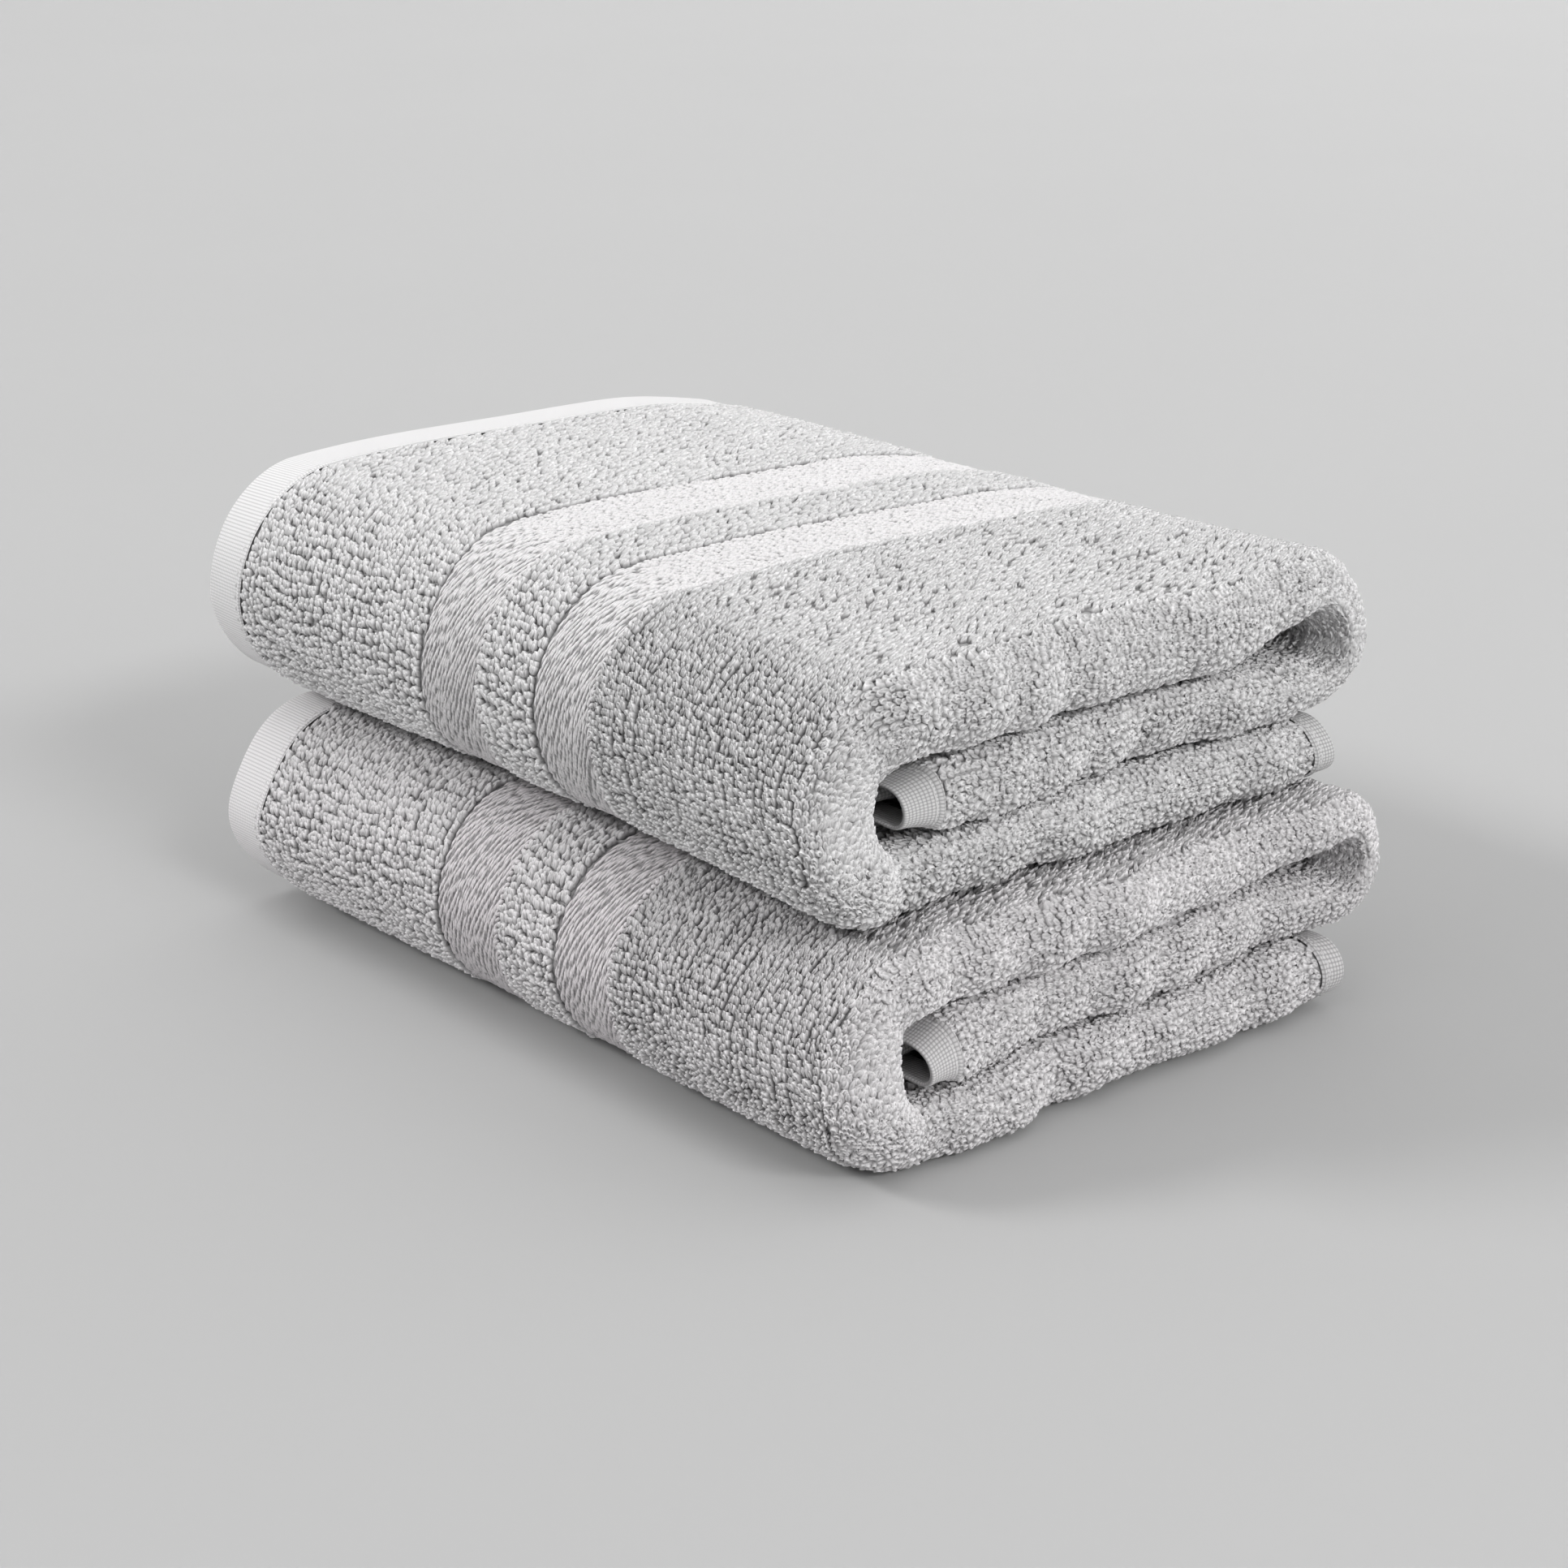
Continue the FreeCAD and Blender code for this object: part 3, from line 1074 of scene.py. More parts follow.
@dataclass
class Ground:
    """The cloth itself: one surface through all four plies, without loops."""

    cloth: FoldedCloth
    material: bpy.types.Material
    long_step: float = 8.0 * MM
    turn_step: float = 2.0 * MM
    wide_step: float = 5.0 * MM

    def stations(self) -> np.ndarray:
        """Distances along the cloth, closer together on the turns."""
        marks = self.cloth.length.marks
        pieces = []
        order = sorted(marks.items(), key=lambda item: item[1])
        for (name, start), (_, end) in zip(order, order[1:]):
            step = self.turn_step if name.endswith("fold") else self.long_step
            count = max(2, int((end - start) / step))
            pieces.append(np.linspace(start, end, count, endpoint=False))
        return np.concatenate([*pieces, [self.cloth.length.total]])

    def build(self, third: Third) -> bpy.types.Object:
        """Make one stretch of the ground cloth.

        Args:
            third: Which stretch of the width.

        Returns:
            The piece.
        """
        start, end = self.cloth.width.span(third)
        along = self.stations()
        across = np.linspace(start, end, int((end - start) / self.wide_step) + 1)
        s, v = np.meshgrid(along, across, indexing="ij")
        level = np.zeros_like(s)
        points, faces, cloth = self.cloth.surface(s, v, level, (s, v, level))
        name = f"{self.cloth.name}_{third.value}_ground"
        return make_piece(name, points, faces, self.material, {"cloth": cloth})


@dataclass(frozen=True, eq=False)
class LoopShape:
    """A loop of yarn as a small mesh, in units of its half width, half length and height.

    Each point also has its place round and along the yarn, and its painted shade: dark at the foot
    and in the eye, light on the ridge.
    """

    points: np.ndarray
    faces: np.ndarray
    strand_and_shade: np.ndarray

    @classmethod
    def scale(cls, slope: float, bowl: float, eye_painted_shade: float, foot_painted_shade: float) -> "LoopShape":
        """A hoop of yarn that has fallen over, like one scale of many.

        Foot and ridge are rings of six points on a plane that rises towards the tip, the
        foot ring lower and wider; a last point between them sinks to make the eye.

        Args:
            slope: Rise of the plane from its middle to the tip.
            bowl: Depth of the eye under the ridge.
            eye_painted_shade: Painted shade of the eye, as a level where the ridge is one.
            foot_painted_shade: Painted shade of the foot, as a level.

        Returns:
            The shape, with nine faces.
        """
        angle = np.arange(6) * math.pi / 3.0
        across, along = np.cos(angle), np.sin(angle) / math.sin(math.pi / 3.0)
        foot = np.stack([across, along, np.maximum(0.5 * slope * along - 0.1, -0.1)], axis=1)
        level = 0.76 + slope * along - 0.1 * np.abs(along)
        ridge = np.stack([0.68 * across, 0.78 * along, level], axis=1)
        eye = np.array([[0.0, -0.05, 0.76 - bowl]])
        ring = np.arange(6)
        following = (ring + 1) % 6
        skirt = np.stack([ring, following, following + 6, ring + 6], axis=1)
        middle = np.array([[12, 6, 7, 8], [12, 8, 9, 10], [12, 10, 11, 6]])
        points = np.concatenate([foot, ridge, eye])
        # painted shade: feet dark, ridge light and lighter towards the raised tip, eye darker
        painted_shade = np.concatenate([np.full(6, foot_painted_shade), 0.85 + 0.15 * along, [eye_painted_shade]])
        strand_and_shade = np.column_stack([(points[:, :2] + 1.0) / 2.0, painted_shade])
        return cls(points, np.concatenate([skirt, middle]), strand_and_shade)

    @classmethod
    def stub(cls) -> "LoopShape":
        """A plain low arch of three by four points, for loops that are mostly out of sight."""
        t, k = np.meshgrid([-1.0, -0.42, 0.42, 1.0], [-1.0, 0.0, 1.0], indexing="ij")
        height = (1.0 - k * k) * np.where(np.abs(t) > 0.9, 0.0, 1.0) - 0.1
        points = np.stack([k, t, height], axis=-1).reshape(-1, 3)
        # painted shade: darker towards the foot of the arch
        strand_and_shade = np.stack([(k + 1.0) / 2.0, (t + 1.0) / 2.0, np.clip(height, 0.0, 1.0)], axis=-1)
        return cls(points, grid_faces(4, 3)[:, ::-1], strand_and_shade.reshape(-1, 3))


@dataclass(frozen=True, eq=False)
class LoopSort:
    """Size, spacing and unruliness of one sort of loop."""

    shape: LoopShape
    column_pitch: float = 1.8 * MM
    row_pitch: float = 2.55 * MM
    width: float = 1.6 * MM
    length: float = 3.05 * MM
    height: float = 2.9 * MM
    lean: float = 0.15
    loose: float = 0.2
    gather: float = 0.2 * MM
    pair: float = 0.0
    # how much lighter these loops are drawn where they lie on the top of the stack
    turns_back: bool = False
    top_lightening: float = 0.0
    uneven: float = 0.16
    stray: float = 0.22 * MM


class Terry(Enum):
    """The sorts of terry on a towel."""

    CLOSE = LoopSort(
        LoopShape.scale(slope=0.2, bowl=0.38, eye_painted_shade=0.45, foot_painted_shade=0.0), top_lightening=0.11
    )
    TUFTED = LoopSort(
        LoopShape.scale(slope=0.2, bowl=0.24, eye_painted_shade=0.64, foot_painted_shade=0.22),
        width=1.9 * MM,
        length=3.3 * MM,
        loose=0.28,
        gather=0.75 * MM,
        pair=0.15,
        uneven=0.1,
        stray=0.3 * MM,
    )
    OPEN = LoopSort(
        LoopShape.scale(slope=0.16, bowl=0.45, eye_painted_shade=0.62, foot_painted_shade=0.42),
        column_pitch=1.9 * MM,
        row_pitch=2.3 * MM,
        width=2.15 * MM,
        length=2.9 * MM,
        height=2.9 * MM,
        lean=0.15,
        loose=0.4,
        gather=0.15 * MM,
        turns_back=True,
        uneven=0.09,
        stray=0.3 * MM,
    )
    HIDDEN = LoopSort(
        LoopShape.stub(),
        column_pitch=3.8 * MM,
        row_pitch=6.6 * MM,
        width=3.9 * MM,
        length=7.4 * MM,
        height=2.3 * MM,
        lean=0.1,
        stray=0.5 * MM,
    )


@dataclass
class Pile:
    """Terry loops on the right side of the cloth."""

    cloth: FoldedCloth
    material: bpy.types.Material
    most_triangles: int = 190_000
    probes: int = 300

    def skin(
        self, along: tuple[float, float], across: tuple[float, float], lift: float
    ) -> tuple[np.ndarray, np.ndarray, np.ndarray, np.ndarray]:
        """Distances over the loop tips against distances in the ground weave.

        The tips lie further apart than the ground weave round the outside of a fold, so
        loops are spaced by the distance over the tips.

        Args:
            along: Start and end along the cloth.
            across: Start and end across the cloth.
            lift: Height of the tips.

        Returns:
            Distance along and its tip distance, then the same across.
        """
        results = []
        for direction in (0, 1):
            ends = (along, across)[direction]
            other = (along, across)[1 - direction]
            fine = np.linspace(*ends, self.probes)
            steady = np.full(self.probes, other[0] if direction == 1 else 0.5 * sum(other))
            height = np.full(self.probes, lift)
            s, v = (fine, steady) if direction == 0 else (steady, fine)
            gaps = np.linalg.norm(np.diff(self.cloth.point(s, v, height), axis=0), axis=1)
            results += [fine, np.concatenate([[0.0], np.cumsum(gaps)])]
        return tuple(results)

    def seeds(
        self,
        sort: LoopSort,
        along: tuple[float, float],
        across: tuple[float, float],
        random: np.random.Generator,
        seed: int,
    ) -> tuple[np.ndarray, np.ndarray, np.ndarray, np.ndarray]:
        """Places of loops over a rectangle of the cloth, in tufts of two to four.

        Columns of loops go in strips two to four wide. Each strip has its own start and
        wanders a little, so its rows don't line up with the next strip's, and in each row
        of a strip the loops draw together into a tuft with cracks round it.

        Args:
            sort: The sort of loop.
            along: Start and end along the cloth.
            across: Start and end across the cloth.
            random: Source of random numbers.
            seed: Start of the ripple's own random numbers.

        Returns:
            Distances along and across, each loop's place in its tuft from -0.5 to 0.5,
            and a number from 0 to 1 for each tuft.
        """
        s_ground, s_skin, v_ground, v_skin = self.skin(along, across, 0.8 * sort.height)
        columns = int(s_skin[-1] / sort.column_pitch) + 1
        rows = int(v_skin[-1] / sort.row_pitch) + 3
        sizes = random.choice([2, 3, 3, 4], columns)
        strip = np.repeat(np.arange(columns), sizes)[:columns]
        first = np.concatenate([[0], np.cumsum(sizes)])[strip]
        inside = (np.arange(columns) - first + 0.5) / sizes[strip] - 0.5
        row, column = np.meshgrid(np.arange(rows), np.arange(columns), indexing="ij")
        wander = Ripple(seed, 25 * MM, 80 * MM).at(
            first[column] * sort.column_pitch, row * sort.row_pitch
        )
        start = random.uniform(0.0, 1.0, columns)[strip][column]
        tuft = random.uniform(0.0, 1.0, (rows, columns))[row, strip[column]]
        place = inside[column]
        s = (column + 0.5) * sort.column_pitch - place * sort.gather + 0.5 * MM * wander
        v = (row - 1.0 + start + 0.4 * wander + 0.22 * (tuft - 0.5)) * sort.row_pitch
        v = v + np.where(row % 2 == 0, sort.pair, -sort.pair) * sort.row_pitch
        v = v - 1.2 * MM * place * place + random.normal(0.0, sort.stray, v.shape)
        s = s + random.normal(0.0, 0.4 * sort.stray, s.shape)
        keep = (s > 0.15 * sort.width) & (s < s_skin[-1] - 0.15 * sort.width)
        keep &= (v > 0.0) & (v < v_skin[-1])
        return (
            np.interp(s[keep], s_skin, s_ground),
            np.interp(v[keep], v_skin, v_ground),
            place[keep],
            tuft[keep],
        )

    def room(self, s: np.ndarray, v: np.ndarray, lift: float) -> np.ndarray:
        """How far apart two places across the cloth are at the tips, as a share."""
        height = np.full(len(s), lift)
        reach = 0.5 * MM
        gap = self.cloth.point(s, v + reach, height) - self.cloth.point(s, v - reach, height)
        return np.linalg.norm(gap, axis=1) / (2.0 * reach)

    def build(
        self,
        label: str,
        sort: Terry,
        third: Third,
        along: tuple[float, float],
        across: tuple[float, float],
        seed: int,
    ) -> list[bpy.types.Object]:
        """Make the loops over a rectangle of the cloth, split into pieces of fair size.

        Args:
            label: Name of the patch, added to the towel's and the stretch's.
            sort: Which sort of terry.
            third: Which stretch of the width the patch is on.
            along: Start and end along the cloth.
            across: Start and end across the cloth.
            seed: Start of the random numbers.

        Returns:
            The pieces.
        """
        random = np.random.default_rng(seed)
        kind = sort.value
        s, v, place, tuft = self.seeds(kind, along, across, random, seed)
        room = self.room(s, v, kind.height)
        fits = random.uniform(0.0, 1.0, len(s)) < room / np.percentile(room, 90) + 0.3
        s, v, place, tuft = s[fits], v[fits], place[fits], tuft[fits]
        centre, ahead, beside, outward = self.cloth.axes(s, v, 0.0)
        count = len(s)
        turn = random.normal(0.08, kind.loose, count) + (tuft - 0.5) * 0.35
        bottom_run, front, top, back, _ = self.cloth.width.lengths
        on_top = (v > bottom_run + 0.8 * front) & (v < bottom_run + front + top + 0.5 * back)
        turn = turn + math.pi * (kind.turns_back & on_top)
        flat = smooth_step(v, bottom_run + 0.8 * front, bottom_run + 1.2 * front)
        flat = flat * (1.0 - smooth_step(v - bottom_run - front - top, 0.0, 0.5 * back))
        lean_side = random.normal(0.0, kind.loose, count) - place * 0.5
        lean_along = random.normal(kind.lean, kind.loose, count)
        size = random.normal(1.0, kind.uneven, count).clip(0.6, 1.15) * (0.92 + 0.12 * tuft)
        dome = 1.0 - 0.5 * place * place
        lengthwise = np.cos(turn)[:, None] * beside + np.sin(turn)[:, None] * ahead
        sideways = np.cos(turn)[:, None] * ahead - np.sin(turn)[:, None] * beside
        upward = outward + lean_side[:, None] * sideways + lean_along[:, None] * lengthwise
        upward /= np.linalg.norm(upward, axis=1, keepdims=True)
        axes = np.stack(
            [
                sideways * (kind.width / 2.0 * size * (1.0 + 0.22 * flat))[:, None],
                lengthwise * (kind.length / 2.0 * random.normal(1.0, 0.08, count))[:, None],
                upward * (kind.height * size * dome)[:, None],
            ],
            axis=1,
        )
        shape, strand_and_shade = kind.shape, kind.shape.strand_and_shade
        tone = random.uniform(0.0, 1.0, count)
        pieces = []
        parts = max(1, math.ceil(count * 2 * len(shape.faces) / self.most_triangles))
        order = np.argsort(s, kind="stable")
        for part, chosen in enumerate(np.array_split(order, parts)):
            vertices, quads = scatter(shape.points, shape.faces, centre[chosen], axes[chosen])
            # per loop: a random tone, its tuft, and a lightening of loops on the top of the stack
            loop = np.column_stack([tone[chosen], tuft[chosen], kind.top_lightening * flat[chosen]])
            name = f"{self.cloth.name}_{third.value}_{label}_loops"
            pieces.append(
                make_piece(
                    f"{name}_{part + 1}" if parts > 1 else name,
                    vertices,
                    quads,
                    self.material,
                    {
                        "strand_and_shade": np.tile(strand_and_shade, (len(chosen), 1)),
                        "loop": np.repeat(loop, len(strand_and_shade), axis=0),
                    },
                )
            )
        return pieces


@dataclass
class Band:
    """A flat woven band on the outer ply: slanting floats laid like bricks over a weave."""

    cloth: FoldedCloth
    material: bpy.types.Material
    lift: float = 0.6 * MM
    plain_edge: float = 1.2 * MM
    float_pitch: float = 1.2 * MM
    float_step: float = 3.7 * MM
    float_length: float = 4.3 * MM
    float_width: float = 0.8 * MM
    float_height: float = 1.0 * MM
    float_points: int = 4
    slant: float = 0.24
    bead_pitch: float = 1.5 * MM
    long_step: float = 1.6 * MM
    wide_step: float = 3.0 * MM

    def strip(
        self, along: tuple[float, float], across: tuple[float, float]
    ) -> tuple[np.ndarray, np.ndarray, np.ndarray]:
        """The weave under the floats, whose long edges dip to the ground cloth."""
        s = np.linspace(*along, int((along[1] - along[0]) / self.long_step) + 1)
        v = np.linspace(*across, int((across[1] - across[0]) / self.wide_step) + 1)
        s, v = np.meshgrid(s, v, indexing="ij")
        from_edge = np.minimum(s - along[0], along[1] - s)
        height = self.lift * smooth_step(from_edge, -0.3 * MM, 1.0 * MM)
        # the weave's third part is nought, so it takes the darkest painted shade
        return self.cloth.surface(s, v, height, (s, v, np.zeros_like(s)))

    def floats(
        self, along: tuple[float, float], across: tuple[float, float], seed: int
    ) -> tuple[np.ndarray, np.ndarray, np.ndarray]:
        """Short slanting threads laid like bricks over the weave.

        Each is a strip of a few points along by three across, whose middle stands up as
        the root of a half sine along its length and whose ends run under its neighbours.
        """
        random = np.random.default_rng(seed)
        start = along[0] + self.plain_edge
        columns = round((along[1] - 0.6 * MM - start) / self.float_pitch)
        pitch = (along[1] - 0.6 * MM - start) / columns
        rows = int((across[1] - across[0]) / self.float_step) + 1
        column, row = np.meshgrid(np.arange(columns), np.arange(rows), indexing="ij")
        column, row = column.ravel(), row.ravel()
        count = len(column)
        middle_s = start + (column + 0.5) * pitch + random.normal(0.0, 0.12 * MM, count)
        drift = Ripple(seed, 30 * MM, 90 * MM).at(middle_s, row * self.float_step)
        begin = 0.5 * np.arange(columns) + random.uniform(-0.2, 0.2, columns)
        place = row + begin[column] + 0.25 * drift + random.normal(0.0, 0.13, count)
        reach = self.float_length * random.normal(1.0, 0.1, count) / 2.0
        middle_v = across[0] + (place % rows) * (across[1] - across[0]) / rows
        turn = self.slant + 0.05 * drift + random.normal(0.0, 0.02, count)
        step = np.linspace(-1.0, 1.0, self.float_points)[None, :, None]
        side = np.array([-1.0, 0.0, 1.0])[None, None, :]
        rise = np.sqrt(1.0 - step**2 * 0.98)
        lengthwise = reach[:, None, None] * step
        bend = np.sin(step * math.pi / 2.0) * reach[:, None, None]
        s = middle_s[:, None, None] + turn[:, None, None] * bend
        s = s + side * self.float_width / 2.0 * (0.35 + 0.65 * rise)
        tall = self.float_height * random.normal(1.0, 0.15, count)[:, None, None]
        height = self.lift - 0.15 * MM + tall * rise * (1.0 - 0.75 * side * side)
        v = middle_v[:, None, None] + lengthwise
        v = np.clip(v, 0.5 * MM, self.cloth.width.total - 0.5 * MM)
        s, v, height = np.broadcast_arrays(np.clip(s, along[0], along[1]), v, height)
        points = self.cloth.point(s, v, height)
        # painted shade: darker towards the ends and sides of each float
        painted_crest_shade = np.broadcast_to((0.25 + 0.75 * rise) * (1.0 - 0.6 * side * side), s.shape)
        cloth = np.stack([s, v, painted_crest_shade], axis=-1)
        faces = grid_faces(self.float_points, 3)[:, ::-1]
        shift = (np.arange(count) * self.float_points * 3)[:, None, None]
        return points.reshape(-1, 3), (faces[None] + shift).reshape(-1, 4), cloth.reshape(-1, 3)

    def beads(
        self, along: tuple[float, float], across: tuple[float, float], seed: int
    ) -> tuple[np.ndarray, np.ndarray, np.ndarray]:
        """A row of small knots where the terry starts again."""
        random = np.random.default_rng(seed)
        count = round((across[1] - across[0]) / self.bead_pitch)
        v = across[0] + (np.arange(count) + 0.5) * self.bead_pitch
        s = along[1] - 0.4 * MM + random.normal(0.0, 0.12 * MM, count)
        shape = LoopShape.stub()
        centre, ahead, beside, outward = self.cloth.axes(s, v, self.lift)
        lean = random.normal(0.5, 0.15, count)[:, None]
        axes = np.stack(
            [ahead * 0.75 * MM, (beside + lean * ahead) * 0.95 * MM, outward * 1.25 * MM], axis=1
        )
        points, faces = scatter(shape.points, shape.faces, centre, axes)
        # painted shade: darker towards the feet of the knots
        painted_crest_shade = np.tile(0.3 + 0.7 * np.clip(shape.points[:, 2], 0.0, 1.0), count)
        grow = len(shape.points)
        return points, faces, np.column_stack([np.repeat(s, grow), np.repeat(v, grow), painted_crest_shade])

    def build(self, zone: Weave, third: Third, seed: int) -> bpy.types.Object:
        """Make one stretch of one band.

        Args:
            zone: Which of the two bands.
            third: Which stretch of the width.
            seed: Start of the random numbers.

        Returns:
            The piece: weave, floats and knots in one mesh.
        """
        along = self.cloth.zones[zone]
        across = self.cloth.width.span(third)
        parts = [
            self.strip(along, across),
            self.floats(along, across, seed),
            self.beads(along, across, seed),
        ]
        counts = np.cumsum([0] + [len(points) for points, _, _ in parts])
        return make_piece(
            f"{self.cloth.name}_{third.value}_{zone.value}_weave",
            np.concatenate([points for points, _, _ in parts]),
            np.concatenate([faces + shift for (_, faces, _), shift in zip(parts, counts)]),
            self.material,
            {"cloth": np.concatenate([cloth for _, _, cloth in parts])},
        )


@dataclass
class Hem:
    """A hem: canvas folded round the edge of the cloth, as a flat tube."""

    cloth: FoldedCloth
    material: bpy.types.Material
    thread: bpy.types.Material
    thickness: float = 2.2 * MM
    ridge: float = 0.7 * MM
    stitch_pitch: float = 3.2 * MM
    stitch_width: float = 0.55 * MM

    def outline(self, reach: float) -> tuple[np.ndarray, np.ndarray]:
        """The hem's closed outline: distance in from the edge, and lift.

        A half circle at the edge of the cloth, level sides, and a low ridge at the inner
        end, where the turned-in canvas is stitched down.
        """
        radius = self.thickness / 2.0
        turn = np.linspace(math.pi / 2.0, -math.pi / 2.0, 9)
        inward = np.linspace(radius, reach - 2.6 * MM, 10)[1:]
        ridge_run = np.linspace(reach - 2.6 * MM, reach, 9)[1:]
        bulge = self.ridge * np.sin((ridge_run - ridge_run[0]) / (reach - ridge_run[0]) * math.pi)
        depth = np.concatenate(
            [
                ridge_run[::-1],
                inward[::-1],
                radius - radius * np.cos(turn),
                inward,
                ridge_run,
            ]
        )
        lift = np.concatenate(
            [
                radius + bulge[::-1],
                np.full(len(inward), radius),
                radius * np.sin(turn),
                np.full(len(inward), -radius),
                -radius + 0.0 * bulge,
            ]
        )
        return depth, lift

    def end(self, name: str, third: Third, second: bool, reach: float) -> bpy.types.Object:
        """A hem across one end of the towel.

        Args:
            name: The hem's name, added to the towel's and the stretch's.
            third: Which stretch of the width.
            second: Whether it is the towel's other end, on the ply beneath.
            reach: The hem's width.

        Returns:
            The piece.
        """
        depth, lift = self.outline(reach)
        start, end = self.cloth.width.span(third)
        across = np.linspace(start, end, int((end - start) / (2.0 * MM)) + 1)
        total = self.cloth.length.total
        depth_grid, v = np.meshgrid(depth, across, indexing="ij")
        lift_grid = np.broadcast_to(lift[:, None], v.shape)
        s = total - depth_grid if second else depth_grid
        points, faces, cloth = self.cloth.surface(
            s, v, lift_grid, (depth_grid, v, lift_grid), flipped=not second
        )
        piece = f"{self.cloth.name}_{third.value}_{name}_canvas"
        return make_piece(piece, points, faces, self.material, {"cloth": cloth})

    def side(self, name: str, third: Third, reach: float) -> bpy.types.Object:
        """A hem along one long side of the towel, through all four plies.

        Args:
            name: The hem's name, added to the towel's and the stretch's.
            third: BASE for the bottom third's edge, FLAP for the tucked third's.
            reach: The hem's width.

        Returns:
            The piece.
        """
        depth, lift = self.outline(reach)
        along = Ground(self.cloth, self.material, long_step=4.0 * MM, turn_step=1.0 * MM).stations()
        at_start = third is Third.BASE
        edge = 0.0 if at_start else self.cloth.width.total
        s, depth_grid = np.meshgrid(along, depth, indexing="ij")
        lift_grid = np.broadcast_to(lift[None, :], s.shape)
        v = edge + depth_grid if at_start else edge - depth_grid
        points, faces, cloth = self.cloth.surface(
            s, v, lift_grid, (s, depth_grid, lift_grid), flipped=at_start
        )
        piece = f"{self.cloth.name}_{third.value}_{name}_canvas"
        return make_piece(piece, points, faces, self.material, {"cloth": cloth})

    def stitches(self, third: Third, reach: float, side: bool) -> bpy.types.Object:
        """A row of stitches just outside a hem's ridge, on the right side of the cloth.

        Args:
            third: Which stretch of the width.
            reach: The hem's width.
            side: Whether the hem is the one along the long side.

        Returns:
            The piece.
        """
        total = self.cloth.width.total
        line = reach - 3.4 * MM
        start, end = (0.0, self.cloth.length.total) if side else self.cloth.width.span(third)
        count = int((end - start) / self.stitch_pitch)
        run = start + (np.arange(count) + 0.5) * self.stitch_pitch
        fixed = np.full(count, line if third is Third.BASE or not side else total - line)
        s, v = (run, fixed) if side else (fixed, run)
        centre, ahead, beside, outward = self.cloth.axes(s, v, self.thickness / 2.0)
        lengthwise, sideways = (ahead, -beside) if side else (beside, ahead)
        axes = np.stack(
            [
                sideways * self.stitch_width / 2.0,
                lengthwise * 0.36 * self.stitch_pitch,
                outward * self.stitch_width,
            ],
            axis=1,
        )
        shape = LoopShape.stub()
        points, faces = scatter(shape.points, shape.faces, centre, axes)
        label = "side_hem" if side else "end_hem"
        name = f"{self.cloth.name}_{third.value}_{label}_stitches"
        return make_piece(name, points, faces, self.thread)


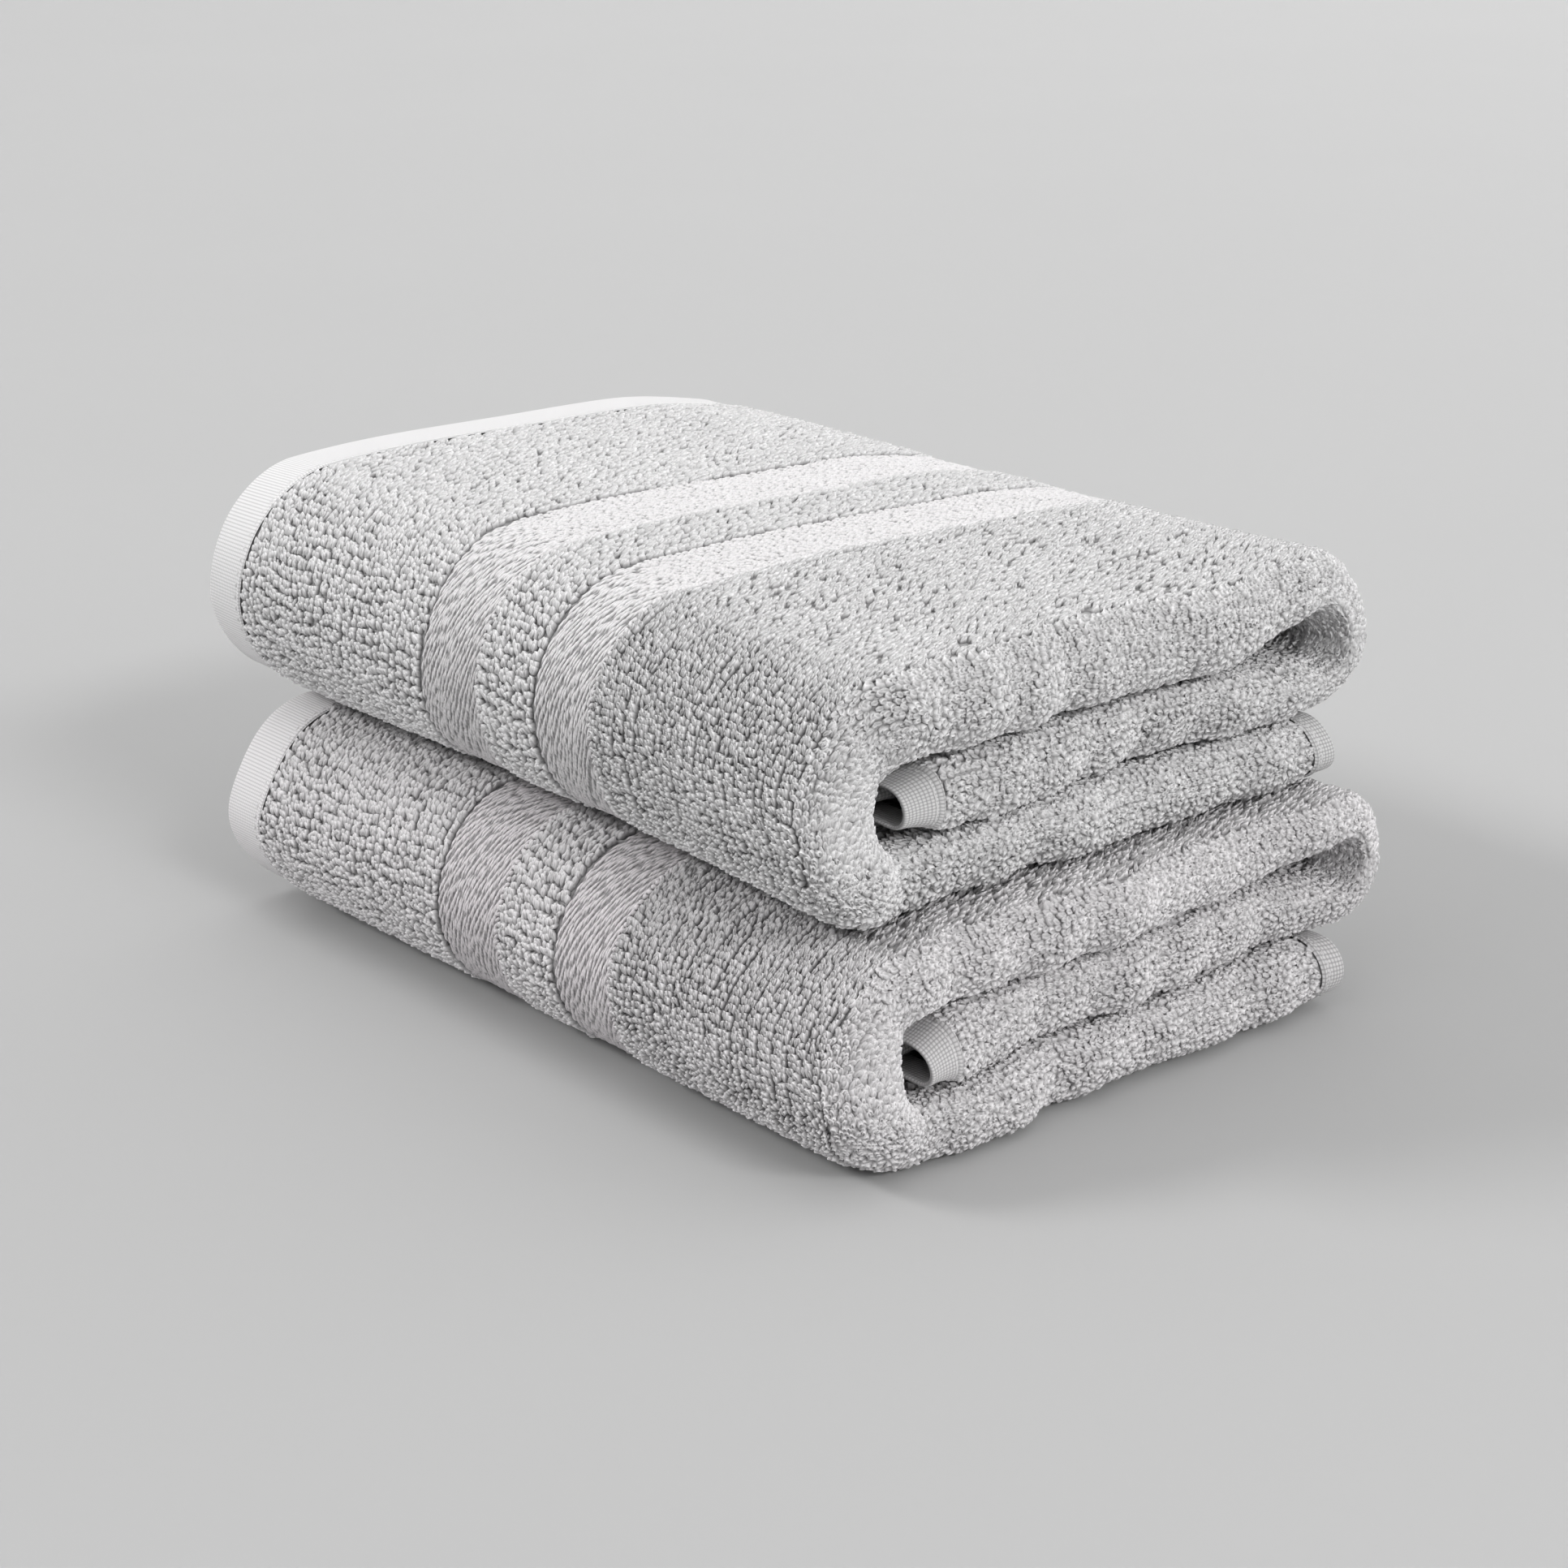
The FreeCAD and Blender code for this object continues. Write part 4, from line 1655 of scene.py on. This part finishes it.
@dataclass
class Towel:
    """One folded towel: ground cloth, loops, bands and hems on its three stretches."""

    cloth: FoldedCloth
    finishes: dict[str, bpy.types.Material]
    seed: int
    base_hem_share: float = 0.6
    tucked_hem_share: float = 0.85
    turn_start: float = 3.0 * MM
    turn_end: float = 9.0 * MM
    pocket_lining: float = 24.0 * MM
    pocket_share: float = 0.7

    def dress(
        self, piece: bpy.types.Object, third: Third, nodes: tuple[str, ...] = ()
    ) -> bpy.types.Object:
        """Attach a piece and hide the CAD nodes that it stands for.

        Args:
            piece: The new piece.
            third: The stretch that it belongs to.
            nodes: CAD zones, without the towel's and body's names.

        Returns:
            The piece.
        """
        self.cloth.attach(piece, third)
        for body in self.cloth.joins(third):
            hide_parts(*(f"{body}_{node}" for node in nodes))
        log.info("%s: %d faces", piece.name, len(piece.data.polygons))
        return piece

    def terry_patches(self) -> list[tuple[str, Terry, tuple[float, float]]]:
        """The stretches of loops along the cloth, and the sort of terry on each."""
        zones = self.cloth.zones
        marks = self.cloth.length.marks
        turn = marks["large_fold"] + self.turn_start
        past = marks["inner_ply"] + self.turn_end
        return [
            ("end_terry", Terry.TUFTED, zones[Weave.END_TERRY]),
            ("divider", Terry.TUFTED, zones[Weave.BAND_DIVIDER]),
            ("main", Terry.CLOSE, (zones[Weave.MAIN_TERRY][0], turn)),
            ("turned", Terry.OPEN, (turn, past)),
            ("inner", Terry.HIDDEN, (past, marks["middle_fold"] + 4.0 * MM)),
        ]

    def patch_spans(self, third: Third) -> list[tuple[str, tuple[float, float], bool]]:
        """The stretches of loops across the cloth, and whether each is mostly hidden."""
        start, end = self.cloth.width.span(third)
        bottom, front, top, back, _ = self.cloth.width.lengths
        low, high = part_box(f"{self.cloth.name}_base_side_hem")
        hem = high.y - low.y
        if third is Third.BASE:
            return [("", (start + self.base_hem_share * hem, end), True)]
        if third is Third.FOLD:
            return [("", (start, end), False)]
        tucked = bottom + front + top + back
        hem_line = end - self.tucked_hem_share * hem
        return [("", (start, tucked), False), ("tucked_", (tucked, hem_line), True)]

    def line_pocket(self, pile: Pile, seed: int) -> list[bpy.types.Object]:
        """Loops on the inner ply round the back fold, where its pocket lets them be seen."""
        bottom, front, top, back, _ = self.cloth.width.lengths
        middle = bottom + front + top + 0.5 * back
        reach = self.pocket_share * self.cloth.pocket_reach
        edge = self.cloth.length.marks["inner_ply"] + self.turn_end
        along = (edge, edge + self.pocket_lining)
        across = (middle - reach, middle + reach)
        return pile.build("pocket", Terry.OPEN, Third.FLAP, along, across, seed)

    def build(self) -> None:
        """Make every piece of the towel, stretch by stretch."""
        cloth = self.cloth
        ground = Ground(cloth, self.finishes["ground"])
        pile = Pile(cloth, self.finishes["pile"])
        band = Band(cloth, self.finishes["band"])
        hem = Hem(cloth, self.finishes["hem"], self.finishes["thread"])
        # the side hems take the finish painted darker as painted shade
        side_hem = Hem(cloth, self.finishes["side_hem"], self.finishes["thread"])
        hem_low, hem_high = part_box(f"{cloth.name}_flap_end_hem")
        end_reach = hem_high.x - hem_low.x + HEM_OVERLAP
        side_low, side_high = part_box(f"{cloth.name}_base_side_hem")
        side_reach = side_high.y - side_low.y
        for order, third in enumerate(Third):
            seed = self.seed + 100 * order
            sheet = ground.build(third)
            terry = ("end_terry", "band_divider", "main_terry", "middle_fold")
            self.dress(sheet, third, terry)
            for zone in BAND_ZONES:
                piece = band.build(zone, third, seed)
                self.dress(piece, third, (zone.value,))
            first = hem.end("end_hem", third, False, end_reach)
            self.dress(first, third, ("end_hem",))
            row = hem.stitches(third, end_reach, side=False)
            self.dress(row, third)
            second = hem.end("second_end_hem", third, True, end_reach)
            self.dress(second, third, ("second_end_hem",))
            if third is not Third.FOLD:
                at_base = third is Third.BASE
                share = self.base_hem_share if at_base else self.tucked_hem_share
                reach = side_reach * share
                side = side_hem.side("side_hem", third, reach)
                self.dress(side, third, ("side_hem",))
                row = hem.stitches(third, reach, side=True)
                self.dress(row, third)
            for prefix, across, hidden in self.patch_spans(third):
                for label, sort, along in self.terry_patches():
                    seed += 1
                    if label == "inner" and third is Third.FLAP:
                        continue
                    if hidden and sort in (Terry.CLOSE, Terry.TUFTED):
                        sort = Terry.HIDDEN
                    for piece in pile.build(prefix + label, sort, third, along, across, seed):
                        self.dress(piece, third)
            if third is Third.FLAP:
                for piece in self.line_pocket(pile, seed + 1):
                    self.dress(piece, third)
            self.declare(third)

    def declare(
        self,
        third: Third,
    ) -> None:
        """Read where a stretch of the width starts and ends; nothing is done with them."""
        start, end = self.cloth.width.span(third)


# ---------------------------------------------------------------- studio


@dataclass(frozen=True)
class Studio:
    """Pale floor, soft lights and the camera."""

    azimuth: float = 48.92
    elevation: float = 19.38
    distance: float = 1.1512
    target: tuple = (0.008, -0.0033, 0.08597)
    slide: tuple = (-0.00183, -0.01976)
    lens: float = 70.57
    floor_level: float = -0.0005
    clear_floor: float = 7.0
    floor_end: float = 16.0
    floor_curve: float = 9.0
    sky: float = 0.7

    lamps: ClassVar[tuple] = (
        ("overhead_soft_light", (-0.2, 0.3, 1.0), 40.0, 0.2),
        ("right_soft_light", (1.0, -0.05, 0.42), 30.0, 4.9),
        ("left_soft_light", (-0.75, -0.85, 0.45), 28.0, 8.2),
    )

    def place_camera(self) -> None:
        """Put the camera on a sphere about the target, slid a little in its own plane."""
        around, above = math.radians(self.azimuth), math.radians(self.elevation)
        back = Vector(
            (
                math.sin(around) * math.cos(above),
                -math.cos(around) * math.cos(above),
                math.sin(above),
            )
        )
        right = Vector((math.cos(around), math.sin(around), 0.0))
        up = back.cross(right)
        data = bpy.data.cameras.new("camera")
        data.lens = self.lens
        data.sensor_width = 36.0
        data.clip_start = 0.05
        camera = bpy.data.objects.new("camera", data)
        camera.location = (
            Vector(self.target) + back * self.distance + right * self.slide[0] + up * self.slide[1]
        )
        camera.rotation_mode = "QUATERNION"
        camera.rotation_quaternion = (-back).to_track_quat("-Z", "Y")
        bpy.context.scene.collection.objects.link(camera)
        bpy.context.scene.camera = camera

    def light(self, name: str, source: Vector, softness: float, power: float) -> None:
        """A wide soft light from one direction, the same all over the floor.

        Args:
            name: The lamp's name.
            source: Direction that the light comes from.
            softness: How wide the lamp looks from the stack, in degrees.
            power: Strength.
        """
        data = bpy.data.lights.new(name, "SUN")
        data.angle = math.radians(softness)
        data.energy = power
        lamp = bpy.data.objects.new(name, data)
        lamp.location = Vector(self.target) + source.normalized()
        lamp.rotation_mode = "QUATERNION"
        lamp.rotation_quaternion = (-source).to_track_quat("-Z", "Y")
        bpy.context.scene.collection.objects.link(lamp)

    def lay_floor(self) -> None:
        """A wide pale floor that curves up into a far backdrop all round.

        The height is the square of the distance past a clear circle, over a length.
        """
        radius, angle = np.meshgrid(
            np.concatenate(
                [
                    np.linspace(0.0, self.clear_floor, 8),
                    np.linspace(self.clear_floor + 0.5, self.floor_end, 18),
                ]
            ),
            np.linspace(0.0, 2.0 * math.pi, 65)[:-1],
            indexing="ij",
        )
        rise = np.clip(radius - self.clear_floor, 0.0, None) ** 2 / self.floor_curve
        points = np.stack(
            [radius * np.cos(angle), radius * np.sin(angle), rise + self.floor_level], axis=-1
        )
        material, tree, shader = base_material("studio_floor")
        mottle = tree.noise(tree.place(), 3.0, 2.0)
        colour = tree.blend(mottle, grey(0.475), grey(0.485))
        lay_on(tree, shader, colour, {"Roughness": 0.9, "Specular IOR Level": 0.1})
        floor = make_piece(
            "studio_floor", points.reshape(-1, 3), grid_faces(*radius.shape, closed=True), material
        )
        floor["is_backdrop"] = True

    def build(self) -> None:
        """Floor, sky, lights and camera."""
        self.lay_floor()
        world = bpy.data.worlds.new("studio")
        world.use_nodes = True
        backdrop = world.node_tree.nodes["Background"]
        backdrop.inputs["Color"].default_value = (1.0, 1.0, 1.0, 1.0)
        backdrop.inputs["Strength"].default_value = self.sky
        bpy.context.scene.world = world
        bpy.context.scene.view_settings.view_transform = "Standard"
        for name, source, softness, power in self.lamps:
            self.light(name, Vector(source), softness, power)
        self.place_camera()


# ---------------------------------------------------------------- the set


TOWELS = (("lower", 1000, 0.011), ("upper", 2000, 0.005))


def towel_finishes(effects: Effects, name: str, warmth: float) -> dict[str, bpy.types.Material]:
    """The finishes of one towel, by what they go on."""
    finishes = {
        "ground": GroundFinish(effects, f"{name}_ground_weave", warmth),
        "pile": PileFinish(effects, f"{name}_terry_loops", warmth),
        "band": BandFinish(effects, f"{name}_flat_band", 2.0 * warmth),
        "hem": HemFinish(effects, f"{name}_hem_canvas", warmth),
        "side_hem": ShadedSideHemFinish(effects, f"{name}_side_hem_canvas", warmth),
        "thread": ThreadFinish(effects, f"{name}_sewing_thread", warmth),
    }
    return {label: finish.build() for label, finish in finishes.items()}


def main() -> None:
    """Build the towels and the studio in order."""
    logging.basicConfig(level=logging.INFO, format="%(name)s: %(message)s")
    cad_low, cad_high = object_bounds()
    effects = Effects()
    drape = Drape(cad_low, cad_high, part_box("upper_base_main_terry")[0].z)
    for name, seed, warmth in TOWELS:
        cloth = FoldedCloth.from_frame(name, drape)
        Towel(cloth, towel_finishes(effects, name, warmth), seed).build()
    Studio().build()
    low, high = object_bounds()
    sizes = {"cad": [list(cad_low), list(cad_high)], "visual": [list(low), list(high)]}
    for label, ends in sizes.items():
        log.info("%s box: %s", label, ends)


if __name__ == "__main__":
    main()
